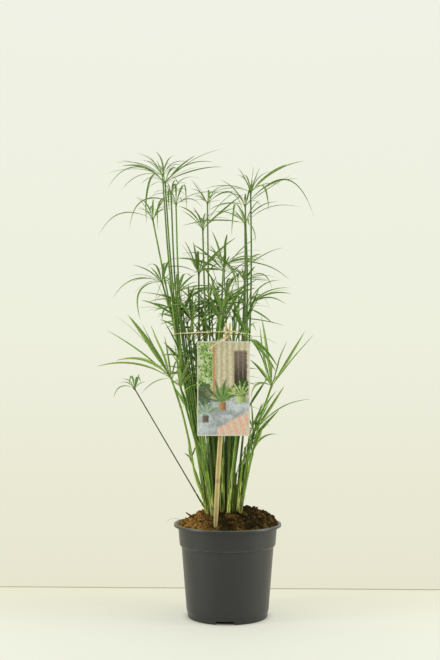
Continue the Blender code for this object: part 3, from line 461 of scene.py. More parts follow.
@dataclass(frozen=True)
class StalkFinish:
    """A smooth green stem, pale and yellowish near the soil, with fine long ribs, painted light and shade
    down its sides and painted shade in three bands between its corners.
    """

    name: str
    foot: Colour
    low: Colour
    light: Colour
    deep: Colour
    foot_top: Pair = (25.0 * MM, 60.0 * MM)
    low_top: Pair = (35.0 * MM, 170.0 * MM)
    streak: Point = (420.0, 420.0, 16.0)
    patch: Point = (60.0, 60.0, 22.0)
    ribs: float = 60.0

    def material(self) -> Material:
        """Build the stem's material.

        Returns:
            The material.
        """
        graph = Graph(self.name)
        around, height, tone = graph.detail("X"), graph.detail("Y"), graph.detail("Z")
        streaks, patches = graph.grain(self.streak, 4.0), graph.grain(self.patch, 3.0)
        green = graph.mix(streaks.span(0.3, 0.7), self.deep, self.light)
        green = graph.shaded(green, tone, 0.55, 0.72)
        wander = patches * 0.06 + height
        green = graph.mix(wander.span(*self.low_top, 0.9, 0.0), green, self.low)
        green = graph.mix(wander.span(*self.foot_top, 0.85, 0.0), green, self.foot)
        ribs = (around * self.ribs).wave
        green = graph.mix(ribs.span(0.0, 1.0, 0.0, 0.16), green, self.light)
        # Painted light down one side of the stem and painted shade down the other.
        green = graph.painted_side_light(green, tone)
        # Painted shade: three darker bands round the stem, standing for the shade in grooves between its
        # corners.
        painted_groove_shade = (around * 3.0 + self.ribs).wave.span(0.3, 1.0)
        green = graph.mix(painted_groove_shade * 0.35, green, self.deep)
        return graph.finish(green, patches.span(0.3, 0.7, 0.32, 0.5), ribs + streaks, 0.06 * MM, 0.6, 0.3)


@dataclass(frozen=True)
class SheathFinish:
    """A papery leaf sheath round a stem's foot, with a dry brown edge, and painted light and shade down its
    sides.
    """

    name: str = "papery_sheath"
    pale: Colour = (0.5, 0.57, 0.15)
    green: Colour = (0.045, 0.11, 0.004)
    brown: Colour = (0.07, 0.05, 0.006)
    husk: Colour = (0.26, 0.24, 0.055)
    streak: Point = (520.0, 520.0, 26.0)

    def material(self) -> Material:
        """Build the sheath's material.

        Returns:
            The material.
        """
        graph = Graph(self.name)
        streaks, along, tone = graph.grain(self.streak, 4.0), graph.detail("Y"), graph.detail("Z")
        colour = graph.mix(streaks.span(0.4, 0.57), self.pale, self.green)
        colour = graph.mix(along.span(0.1, 0.75, 0.45, 0.0), colour, self.pale)
        # Painted light down one side of the sheath and painted shade down the other.
        colour = graph.painted_side_light(graph.shaded(colour, tone, 1.1, 0.42), tone)
        edge = along + streaks * 0.16 - 0.08
        colour = graph.mix(edge.span(0.9, 1.0, 0.0, 0.75), colour, self.brown)
        foot = graph.mix(streaks.span(0.42, 0.6), self.husk, self.brown)
        low = along + tone * 0.14
        colour = graph.mix(low.span(0.1, 0.55, 0.92, 0.0), colour, foot)
        return graph.finish(colour, streaks.span(0.2, 0.8, 0.45, 0.66), streaks, 0.12 * MM, 0.7, 0.15)


@dataclass(frozen=True)
class PlasticFinish:
    """Dark grey moulded polypropylene with a satin face and a little dust, and painted highlights along the
    lip's outer edge and the collar's foot.
    """

    name: str = "dark_grey_plastic"
    base: Colour = (0.019, 0.0205, 0.0195)
    worn: Colour = (0.025, 0.0265, 0.025)
    dust: Colour = (0.16, 0.13, 0.08)
    edge_highlight: Colour = (0.1, 0.1, 0.085)
    flow_marks: Point = (60.0, 60.0, 5.0)
    dusty: Pair = (155.0 * MM, 165.0 * MM)
    lip_highlight: Pair = (160.3 * MM, 162.0 * MM)
    collar_highlight: Pair = (124.4 * MM, 125.8 * MM)
    edge_soft: float = 0.4 * MM

    def material(self) -> Material:
        """Build the pot's material.

        Returns:
            The material.
        """
        graph = Graph(self.name)
        cloud, flow = graph.noise(graph.place, 18.0, 2.0), graph.grain(self.flow_marks, 2.0)
        height = graph.at("Z")
        colour = graph.mix(cloud.span(0.35, 0.75, 0.0, 0.35), self.base, self.worn)
        colour = graph.mix(flow.span(0.5, 0.78, 0.0, 0.25), colour, self.worn)
        specks = graph.noise(graph.place, 420.0, 3.0).span(0.56, 0.72)
        settled = specks * height.span(*self.dusty, 0.0, 0.5)
        colour = graph.mix(settled, colour, self.dust)
        # Painted highlight: lighter lines along the lip's outer edge and the collar's foot, broken up by the
        # flow marks.
        lip = height.span(*self.lip_highlight) * flow.span(0.25, 0.6, 0.35, 0.9)
        colour = graph.mix(lip, colour, self.edge_highlight)
        low, high = self.collar_highlight
        collar = height.span(low - self.edge_soft, low) * height.span(high, high + self.edge_soft, 1.0, 0.0)
        colour = graph.mix(collar * flow.span(0.35, 0.7, 0.1, 0.6), colour, self.edge_highlight)
        rough = cloud.span(0.3, 0.7, 0.34, 0.4) + settled * 0.3
        return graph.finish(colour, rough, cloud + flow, 0.12 * MM, 0.3)


@dataclass(frozen=True)
class PeatFinish:
    """Moist peat: black-brown clods, with drier rust coloured patches at the left and right edges."""

    name: str
    dark: Colour = (0.0195, 0.015, 0.0045)
    brown: Colour = (0.128, 0.073, 0.018)
    light: Colour = (0.42, 0.22, 0.055)
    lift: float = 0.0
    dry_left: Pair = (-65.0 * MM, -10.0 * MM)
    dry_right: Pair = (50.0 * MM, 85.0 * MM)
    dry_front: Pair = (-30.0 * MM, 30.0 * MM)
    wet_from: Pair = (-35.0 * MM, 0.0)
    wetness: float = 0.27

    def material(self) -> Material:
        """Build the peat's material.

        Returns:
            The material.
        """
        graph = Graph(self.name)
        coarse = graph.noise(graph.place, 75.0, 4.0, 0.6)
        flakes = graph.noise(graph.place, 260.0, 3.0, 0.6)
        fine = graph.noise(graph.place, 700.0, 3.0, 0.65)
        across = graph.at("X")
        left = across.span(*self.dry_left, 1.0, 0.0)
        right = across.span(*self.dry_right, 0.0, 0.2) * graph.at("Y").span(*self.dry_front, 1.0, 0.0)
        wet = across.span(*self.wet_from, self.lift, self.lift - self.wetness)
        dry = graph.math("MAXIMUM", left, right) + wet
        grain = graph.detail("Z") * 0.16 - 0.08
        clods = dry * 0.15 + coarse + grain
        colour = graph.mix(clods.span(0.42, 0.66), self.dark, self.brown)
        spots = dry * 0.2 + flakes + grain
        colour = graph.mix(spots.span(0.6, 0.8), colour, self.light)
        pores = fine.span(0.48, 0.36) * coarse.span(0.35, 0.6, 1.0, 0.5)
        colour = graph.mix(pores, colour, self.dark)
        return graph.finish(colour, coarse.span(0.3, 0.7, 0.8, 0.97), fine + flakes, 0.9 * MM, 0.8, 0.05)


@dataclass(frozen=True)
class CaneFinish:
    """Split bamboo: straw coloured, with long fibres and a browner stripe down its face."""

    name: str = "split_bamboo"
    straw: Colour = (0.64, 0.53, 0.23)
    tan: Colour = (0.43, 0.33, 0.125)
    brown: Colour = (0.16, 0.095, 0.03)
    fibre: Point = (900.0, 900.0, 14.0)
    patch: Point = (70.0, 70.0, 18.0)
    soiled: Pair = (175.0 * MM, 240.0 * MM)

    def material(self) -> Material:
        """Build the cane's material.

        Returns:
            The material.
        """
        graph = Graph(self.name)
        fibres, patches = graph.grain(self.fibre, 5.0, 0.6), graph.grain(self.patch, 3.0)
        colour = graph.mix(fibres.span(0.3, 0.7), self.tan, self.straw)
        across = graph.detail("X") + patches * 0.5 - 0.25
        stripe = across.size.span(0.08, 0.34, 0.62, 0.0)
        colour = graph.mix(stripe, colour, self.tan)
        colour = graph.mix(stripe * fibres.span(0.4, 0.65), colour, self.brown)
        knots = graph.detail("Z")
        colour = graph.mix(knots, colour, self.brown)
        colour = graph.mix(graph.at("Z").span(*self.soiled, 0.36, 0.0), colour, self.brown)
        return graph.finish(colour, fibres.span(0.2, 0.8, 0.45, 0.7), fibres, 0.25 * MM, 0.7)


@dataclass(frozen=True)
class RaffiaFinish:
    """Pale straw coloured raffia with fine long fibres."""

    name: str = "straw_raffia"
    pale: Colour = (0.9, 0.8, 0.5)
    tan: Colour = (0.66, 0.5, 0.25)

    def material(self) -> Material:
        """Build the raffia's material.

        Returns:
            The material.
        """
        graph = Graph(self.name)
        place = graph.joined(graph.detail("X") * 14.0, graph.detail("Y") * 60.0, graph.detail("Z"))
        threads = graph.noise(place, 1.0, 4.0, 0.65)
        colour = graph.mix(threads.span(0.3, 0.68), self.tan, self.pale)
        return graph.finish(colour, threads.span(0.2, 0.8, 0.5, 0.72), threads, 0.3 * MM, 0.8)


@dataclass(frozen=True)
class CardFinish:
    """White card stock, the tag's back and edges."""

    name: str = "card_stock"
    colour: Colour = (0.78, 0.78, 0.73)
    darkest: float = 0.9

    def material(self) -> Material:
        """Build the card's material.

        Returns:
            The material.
        """
        graph = Graph(self.name)
        fibres = graph.noise(graph.place, 700.0, 3.0)
        darker = tuple(self.darkest * value for value in self.colour)
        colour = graph.mix(fibres.span(0.3, 0.7), darker, self.colour)
        return graph.finish(colour, 0.5, fibres, 0.02 * MM, 0.4)


@dataclass(frozen=True)
class Drawing:
    """The card's face to draw on: u runs across it and v up it, both from 0 to 1."""

    graph: Graph
    u: Level
    v: Level
    ragged: Level
    shape: float

    def inside(self, box: Sequence[float], soft: float = 0.014) -> Level:
        """1 inside the box (left, right, low, high), with soft edges.

        Args:
            box: The box.
            soft: Half the width of its edges.

        Returns:
            The level.
        """
        left, right, low, high = box
        across = self.u.span(left - soft, left + soft) * self.u.span(right - soft, right + soft, 1.0, 0.0)
        return across * self.v.span(low - soft, low + soft) * self.v.span(high - soft, high + soft, 1.0, 0.0)

    def blob(self, middle: Pair, size: Pair) -> Level:
        """1 inside an oval with a ragged edge."""
        x, y = (self.u - middle[0]) / size[0], (self.v - middle[1]) / size[1]
        return (self.ragged * 2.2 + (x * x + y * y)).span(1.7, 2.3, 1.0, 0.0)

    def fronds(self, heart: Pair, reach: float, blades: float) -> Level:
        """1 on thin fronds that spread up from their heart.

        Args:
            heart: Where they start.
            reach: How far they reach.
            blades: How close they stand.

        Returns:
            The level.
        """
        x, y = (self.u - heart[0]) * self.shape, self.v - heart[1]
        far = self.graph.math("SQRT", x * x + y * y)
        angle = self.graph.math("ARCTAN2", y, x)
        star = (angle * blades + far * 9.0).wave - far * (1.5 / reach)
        return star.span(-1.0, -0.45) * angle.span(0.15, 0.5)


@dataclass(frozen=True)
class PrintFinish:
    """The tag's printed face: a made-up garden corner in soft greens, greys and earth colours."""

    name: str = "printed_card"
    border: Colour = (0.62, 0.62, 0.52)
    wall: Colour = (0.5, 0.44, 0.3)
    cream: Colour = (0.7, 0.64, 0.44)
    brown: Colour = (0.18, 0.14, 0.11)
    umber: Colour = (0.045, 0.03, 0.022)
    haze: Colour = (0.56, 0.64, 0.4)
    leaf: Colour = (0.16, 0.3, 0.07)
    deep: Colour = (0.035, 0.085, 0.02)
    lime: Colour = (0.5, 0.68, 0.2)
    slate: Colour = (0.3, 0.33, 0.34)
    blue: Colour = (0.58, 0.65, 0.68)
    salmon: Colour = (0.75, 0.46, 0.34)
    ochre: Colour = (0.5, 0.28, 0.1)

    def _backdrop(self, drawing: Drawing, blot: Level) -> Socket:
        """Wall, floor, hedge, door and post.

        Args:
            drawing: The card's face.
            blot: Broad chance.

        Returns:
            The colour.
        """
        graph, u, v, fine = drawing.graph, drawing.u, drawing.v, drawing.ragged
        folds = (u * 58.0 + blot * 5.0).wave
        wall = graph.mix(folds.span(-1.0, 1.0, 0.0, 0.8), self.wall, self.cream)
        floor = graph.mix(blot.span(0.3, 0.7), self.slate, self.blue)
        colour = graph.mix(v.span(0.33, 0.47), floor, wall)
        hedge = graph.mix(blot.span(0.38, 0.6), self.leaf, self.haze)
        hedge = graph.mix(fine.span(0.5, 0.62, 0.0, 0.8), hedge, self.lime)
        hedge = graph.mix(fine.span(0.46, 0.36), hedge, self.deep)
        colour = graph.mix(drawing.inside((-0.1, 0.29, 0.52, 1.1)), colour, hedge)
        door = graph.mix(v.span(0.56, 0.86), self.umber, self.brown)
        panels = (u * 74.0).wave
        door = graph.mix(panels.span(0.55, 1.0, 0.0, 0.35), door, self.wall)
        colour = graph.mix(drawing.inside((0.7, 0.95, 0.53, 0.9)), colour, door)
        return graph.mix(drawing.inside((0.3, 0.34, 0.4, 1.1), 0.008), colour, self.ochre)

    def _rug(self, drawing: Drawing, colour: Socket) -> Socket:
        """A striped rug in the front corner, and a shadow behind it.

        Args:
            drawing: The card's face.
            colour: The colour so far.

        Returns:
            The colour.
        """
        graph, u, v = drawing.graph, drawing.u, drawing.v
        stripes = (u * 46.0 + v * 30.0).wave
        rug = graph.mix(stripes.span(-0.2, 0.9, 0.0, 0.75), self.salmon, self.border)
        share = (u * -0.3 + v).span(-0.05, -0.02, 1.0, 0.0) * u.span(0.36, 0.4)
        colour = graph.mix(share, colour, rug)
        return graph.mix(drawing.blob((0.45, 0.25), (0.26, 0.035)) * 0.7, colour, self.slate)

    def _plants(self, drawing: Drawing, blot: Level, colour: Socket) -> Socket:
        """Bushes, fronds and their pots.

        Args:
            drawing: The card's face.
            blot: Broad chance.
            colour: The colour so far.

        Returns:
            The colour.
        """
        graph, fine = drawing.graph, drawing.ragged
        bushes = (((0.86, 0.5), (0.15, 0.1), self.deep), ((0.13, 0.44), (0.16, 0.13), self.deep),
                  ((0.5, 0.44), (0.17, 0.09), self.leaf))
        for middle, oval, look in bushes:
            share = drawing.blob(middle, oval) * blot.span(0.3, 0.6, 0.65, 0.95)
            colour = graph.mix(share, colour, look)
        palms = (((0.48, 0.36), 0.21, 13.0, self.deep), ((0.5, 0.37), 0.15, 19.0, self.leaf),
                 ((0.16, 0.22), 0.14, 12.0, self.leaf), ((0.84, 0.43), 0.13, 15.0, self.lime))
        for heart, reach, blades, look in palms:
            share = drawing.fronds(heart, reach, blades) * fine.span(0.36, 0.56, 0.35, 0.95)
            colour = graph.mix(share, colour, look)
        pots = (((0.42, 0.55, 0.27, 0.36), self.ochre), ((0.1, 0.22, 0.14, 0.22), self.brown),
                ((0.76, 0.92, 0.35, 0.42), self.lime))
        for box, look in pots:
            pot = graph.mix(drawing.u.span(box[0], box[1], 0.0, 0.6), look, self.umber)
            colour = graph.mix(drawing.inside(box), colour, pot)
        return colour

    def material(self, low: Array, high: Array) -> Material:
        """Build the printed face's material.

        Args:
            low: Lowest corner of the card.
            high: Highest corner of the card.

        Returns:
            The material.
        """
        graph = Graph(self.name)
        left, _, foot = low.tolist()
        width, _, height = (high - low).tolist()
        blot = graph.noise(graph.place, 60.0, 4.0)
        fine = graph.noise(graph.place, 300.0, 3.0, 0.6)
        wobble = fine * 0.05 - 0.025
        u, v = (graph.at("X") - left) / width, (graph.at("Z") - foot) / height
        face = Drawing(graph, u + wobble, v - wobble * 0.5, fine, width / height)
        colour = self._rug(face, self._backdrop(face, blot))
        colour = self._plants(face, blot, colour)
        colour = graph.shaded(colour, fine, 0.9, 0.55, 0.8)
        inner = Drawing(graph, u, v, fine, width / height).inside((0.022, 0.978, 0.012, 0.988), 0.004)
        colour = graph.mix(inner, self.border, colour)
        graph.set("Coat Weight", 0.15)
        return graph.finish(colour, fine.span(0.3, 0.7, 0.26, 0.34), fine, 0.01 * MM, 0.3)


@dataclass(frozen=True)
class StudioFinish:
    """The pale matt top that the pot stands on, yellower towards its back edge. It glows with painted light,
    none under the pot and full a little beyond its foot, which lifts the pot's shadow.
    """

    name: str = "pale_top"
    near: Colour = (0.35, 0.354, 0.318)
    far: Colour = (0.35, 0.343, 0.281)
    back: Pair = (-200.0 * MM, 220.0 * MM)
    under: Pair = (55.0 * MM, 84.0 * MM)
    painted_glow: float = 1.2

    def material(self) -> Material:
        """Build the top's material.

        Returns:
            The material.
        """
        graph = Graph(self.name)
        x, y = graph.at("X"), graph.at("Y")
        colour = graph.mix(y.span(*self.back), self.near, self.far)
        # Painted light: emission that makes the top glow, from none under the pot to full beyond its foot.
        painted_glow = graph.math("SQRT", x * x + y * y).span(*self.under, 0.0, self.painted_glow)
        for name, source in (("Base Color", colour), ("Emission Color", colour), ("Emission Strength", painted_glow),
                             ("Roughness", 0.75), ("Specular IOR Level", 0.1)):
            graph.set(name, source)
        return graph.material


class Surface:
    """Points and faces of one piece, with three detail numbers at each point."""

    def __init__(self) -> None:
        """Start with nothing."""
        self.points: list[Array] = []
        self.details: list[Array] = []
        self.faces: list[tuple[int, ...]] = []
        self.looks: list[int] = []
        self.count = 0

    def add(self, points: Array, faces: Sequence[Sequence[int]], details: Array,
            look: int = 0) -> None:
        """Take in points with their details, and faces among them.

        Args:
            points: One point a row.
            faces: Point numbers of each face, counted from the first of these points.
            details: One row of three numbers a point.
            look: Which of the piece's materials the faces wear.
        """
        base = self.count
        self.points.append(points)
        self.details.append(details)
        self.faces.extend(tuple(base + int(corner) for corner in face) for face in faces)
        self.looks.extend([look] * len(faces))
        self.count += len(points)

    def skin(self, lines: Sequence[Array], details: Sequence[Array], look: int = 0,
             pointed: bool = False, closed: bool = False) -> None:
        """Join lines that run side by side along a piece into a closed skin.

        Args:
            lines: The lines, in order round the piece, each with as many points.
            details: The detail numbers of each line's points.
            look: The number of its material.
            pointed: Whether the lines meet in one point at their end.
            closed: Whether the end of each line joins its start.
        """
        rings, marks = np.stack(lines, axis=1), np.stack(details, axis=1)
        turns, places = rings.shape[:2]
        whole = turns - 1 if pointed else turns
        faces: list[tuple[int, ...]] = []
        for row in range(turns if closed else whole - 1):
            upper = (row + 1) % turns
            for place in range(places):
                after = (place + 1) % places
                faces.append((row * places + place, row * places + after,
                              upper * places + after, upper * places + place))
        points, numbers = rings[:whole].reshape(-1, 3), marks[:whole].reshape(-1, 3)
        last = (whole - 1) * places
        if pointed:
            points = np.vstack((points, rings[-1].mean(axis=0)))
            numbers = np.vstack((numbers, marks[-1].mean(axis=0)))
            faces.extend((last + place, last + (place + 1) % places, whole * places)
                         for place in range(places))
        if not closed:
            faces.append(tuple(reversed(range(places))))
            if not pointed:
                faces.append(tuple(range(last, last + places)))
        self.add(points, faces, numbers, look)

    def piece(self, name: str, materials: Sequence[Material], slot: Slot,
              replaced: Sequence[str] = ()) -> Object:
        """Make the gathered surface a piece that rides on the part.

        Args:
            name: The piece's name.
            materials: Its materials, in the order of the looks.
            slot: The record's material slot; not used.
            replaced: CAD nodes that it stands for.

        Returns:
            The new object.
        """
        mesh = bpy.data.meshes.new(name)
        mesh.from_pydata(np.vstack(self.points).tolist(), [], self.faces)
        marks = mesh.attributes.new("detail", "FLOAT_VECTOR", "POINT")
        marks.data.foreach_set("vector", np.vstack(self.details).astype(np.float32).ravel())
        mesh.polygons.foreach_set("material_index", np.array(self.looks, np.int32))
        facing_out(mesh)
        mesh.shade_smooth()
        return dress(mesh, name, materials, replaced)


def facing_out(mesh: Mesh) -> None:
    """Turn a mesh's faces outwards.

    Args:
        mesh: The mesh.
    """
    bm = bmesh.new()
    bm.from_mesh(mesh)
    bmesh.ops.recalc_face_normals(bm, faces=bm.faces)
    bm.to_mesh(mesh)
    bm.free()


def placed(name: str, data: bpy.types.ID) -> Object:
    """A new object in the scene.

    Args:
        name: Its name.
        data: Its mesh, curve, lamp or camera.

    Returns:
        The object.
    """
    made = bpy.data.objects.new(name, data)
    bpy.context.scene.collection.objects.link(made)
    return made


def shaped(name: str, bm: bmesh.types.BMesh) -> Mesh:
    """A new mesh of what has been shaped, which is then let go.

    Args:
        name: The mesh's name.
        bm: What has been shaped.

    Returns:
        The mesh.
    """
    mesh = bpy.data.meshes.new(name)
    bm.to_mesh(mesh)
    bm.free()
    return mesh


def settled(source: Object) -> Mesh:
    """The mesh of an object with its modifiers applied."""
    bpy.context.view_layer.update()
    return bpy.data.meshes.new_from_object(source.evaluated_get(bpy.context.evaluated_depsgraph_get()))


def carved(body: Object, cutter: Mesh) -> Mesh:
    """The mesh of a body that the cutter is taken out of.

    Args:
        body: The object that is cut.
        cutter: The mesh of what is cut out.

    Returns:
        The mesh that is left.
    """
    boolean = body.modifiers.new("openings", "BOOLEAN")
    boolean.solver = "EXACT"
    boolean.object = placed("cutter", cutter)
    made = settled(body)
    bpy.data.objects.remove(boolean.object)
    return made


def dress(mesh: Mesh, name: str, materials: Sequence[Material],
          replaced: Sequence[str] = ()) -> Object:
    """Make a mesh a piece of the part.

    Args:
        mesh: The mesh, in the part's frame.
        name: The piece's name.
        materials: Its materials.
        replaced: CAD nodes that it stands for.

    Returns:
        The new object.
    """
    for material in materials:
        mesh.materials.append(material)
    piece = placed(name, mesh)
    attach(piece, "root")
    if replaced:
        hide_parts(*replaced)
    return piece


def report(piece: Object) -> None:
    """Log a piece's name and size."""
    LOG.info("%s: %d faces", piece.name, len(piece.data.polygons))


class Solid:
    """A CAD node's surface with its split corners joined, so that neighbours can be followed."""

    def __init__(self, node: str) -> None:
        """Read the node.

        Args:
            node: The node's name.
        """
        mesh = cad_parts[node].data
        flat = np.empty(3 * len(mesh.vertices), np.float32)
        mesh.vertices.foreach_get("co", flat)
        places = flat.reshape(-1, 3).astype(float)
        _, first, index = np.unique(np.round(places / WELD).astype(np.int64), axis=0,
                                    return_index=True, return_inverse=True)
        index = index.ravel()
        self.points = places[first]
        self.low, self.high = self.points.min(axis=0), self.points.max(axis=0)
        self.neighbours: list[set[int]] = [set() for _ in first]
        for polygon in mesh.polygons:
            corners = [int(index[corner]) for corner in polygon.vertices]
            for corner in corners:
                self.neighbours[corner].update(corners)
        for own, others in enumerate(self.neighbours):
            others.discard(own)


HUB_RADIUS = 2.1 * MM
HUB_CLEAR = 12.0 * MM  # A blade's tip is farther than this from its hub.
FIRST_RING = 3.2 * MM  # A ring that is nearer to the hub is the hub's own.
LONG_STEPS = (0.15, 0.43, 0.74)  # Where along it a long blade's solid has its rings.
SHORT_STEPS = (0.2, 0.6)  # The same for a short one.
SUNK = 5.0 * MM  # How far a stem's line is carried on into the soil.
PAST_FOOT = 400.0 * MM  # So high above the soil a stem is green all through.


@dataclass(frozen=True)
class Blade:
    """A leaf blade's bent middle line, its width, and how far it is turned to one side."""

    root: Array
    crest: Array
    tip: Array
    width: float
    turn: float

    @property
    def length(self) -> float:
        """Distance from root to tip."""
        return float(np.linalg.norm(self.tip - self.root))

    @property
    def bearing(self) -> float:
        """Direction of the tip about Z."""
        return math.atan2(self.tip[1] - self.root[1], self.tip[0] - self.root[0])

    def line(self, steps: Array) -> Array:
        """Points of the middle line at steps from 0 at the root to 1 at the tip."""
        t = np.asarray(steps)[:, None]
        return (1 - t) ** 2 * self.root + 2 * t * (1 - t) * self.crest + t**2 * self.tip

    def flat(self, runs: Array) -> Array:
        """The level side of the blade at each of its directions."""
        side = np.cross(UP, (math.cos(self.bearing), math.sin(self.bearing), 0.0))
        return unit(side - runs * (runs @ side)[:, None])


def read_blade(solid: Solid, tip: int, hub: Array) -> Optional[Blade]:
    """Read one blade of a crown's solid from its tip inwards.

    Args:
        solid: The crown.
        tip: The number of the tip's point.
        hub: The middle of the hub.

    Returns:
        The blade, or None where the tip isn't one.
    """
    rings, seen, ring = [], {tip}, solid.neighbours[tip]
    while len(ring) == 3:
        corners = solid.points[sorted(ring)]
        if np.linalg.norm(corners.mean(axis=0) - hub) < FIRST_RING:
            break
        rings.append(corners)
        seen = seen | ring
        ring = set().union(*(solid.neighbours[point] for point in ring)) - seen
    steps = {3: LONG_STEPS, 2: SHORT_STEPS}.get(len(rings))
    if steps is None:
        return None
    rings.reverse()
    end = solid.points[tip]
    weights = np.array([((1 - t) ** 2, 2 * t * (1 - t)) for t in steps])
    rests = np.array([corners.mean(axis=0) - t * t * end for corners, t in zip(rings, steps)])
    root, crest = np.linalg.lstsq(weights, rests, rcond=None)[0]
    a, b, c = rings[1]
    side = max((a - b, b - c, c - a), key=np.linalg.norm)
    plain_blade = Blade(root, crest, end, float(np.linalg.norm(side)), 0.0)
    at = 0.5 if steps == LONG_STEPS else 0.6
    run = unit(np.diff(plain_blade.line(np.array((at - 0.05, at + 0.05))), axis=0))
    flat = plain_blade.flat(run)[0]
    side = unit(side if side @ flat > 0.0 else -side)
    turn = math.atan2(float(np.cross(flat, side) @ run[0]), float(flat @ side))
    return Blade(root, crest, end, plain_blade.width, turn)


def blades_of(solid: Solid, hub: Array) -> list[Blade]:
    """All the blades of a crown's solid, in order round its hub.

    Args:
        solid: The crown.
        hub: The middle of the hub.

    Returns:
        The blades.
    """
    tips = [point for point, near in enumerate(solid.neighbours)
            if len(near) == 3 and np.linalg.norm(solid.points[point] - hub) > HUB_CLEAR]
    found = [read_blade(solid, tip, hub) for tip in tips]
    return sorted((blade for blade in found if blade is not None), key=lambda blade: blade.bearing)


@dataclass(frozen=True)
class StalkLine:
    """A stem's middle line with its half thickness."""

    points: Array
    radii: Array

    @property
    def axis(self) -> Array:
        """The direction at its top."""
        return unit(self.points[-1] - self.points[-2])

    def beyond(self, distance: float) -> Array:
        """The point at a distance past its top."""
        return self.points[-1] + self.axis * distance

    def fine(self, count: int) -> "StalkLine":
        """The same line, smooth and in even steps."""
        points = through(self.points, count)
        return StalkLine(points, np.interp(points[:, 2], self.points[:, 2], self.radii))

    def sunk(self) -> "StalkLine":
        """The same line, carried on into the soil."""
        foot = self.points[0] + unit(self.points[0] - self.points[1]) * SUNK
        return StalkLine(np.vstack((foot, self.points)), np.concatenate((self.radii[:1], self.radii)))


def stalk_line(points: Array, rings: int = 6, apart: float = 1.2 * MM) -> StalkLine:
    """The middle line of a solid's lowest whole rings.

    Args:
        points: The solid's points.
        rings: How many rings belong to the stalk.
        apart: Least height between two rings.

    Returns:
        The line through the middles of the rings.
    """
    points = points[np.argsort(points[:, 2])]
    ends = np.flatnonzero(np.diff(points[:, 2]) > apart) + 1
    stack = np.split(points, ends)[:rings]
    corners = max(len(ring) for ring in stack)
    whole = np.array([ring for ring in stack if len(ring) == corners])
    middles = whole.mean(axis=1)
    radii = np.linalg.norm(whole - middles[:, None], axis=2).mean(axis=1)
    return StalkLine(middles, radii)


@dataclass(frozen=True)
class Habit:
    """How one kind of blade grows: the ranges that chance picks its sizes from."""

    reach: Pair
    rise: Pair
    arch: Pair
    width: Pair
    turn: Pair
    bend: float = 0.5
    stray: Pair = (0.0, 0.0)
    deep: float = 1.0


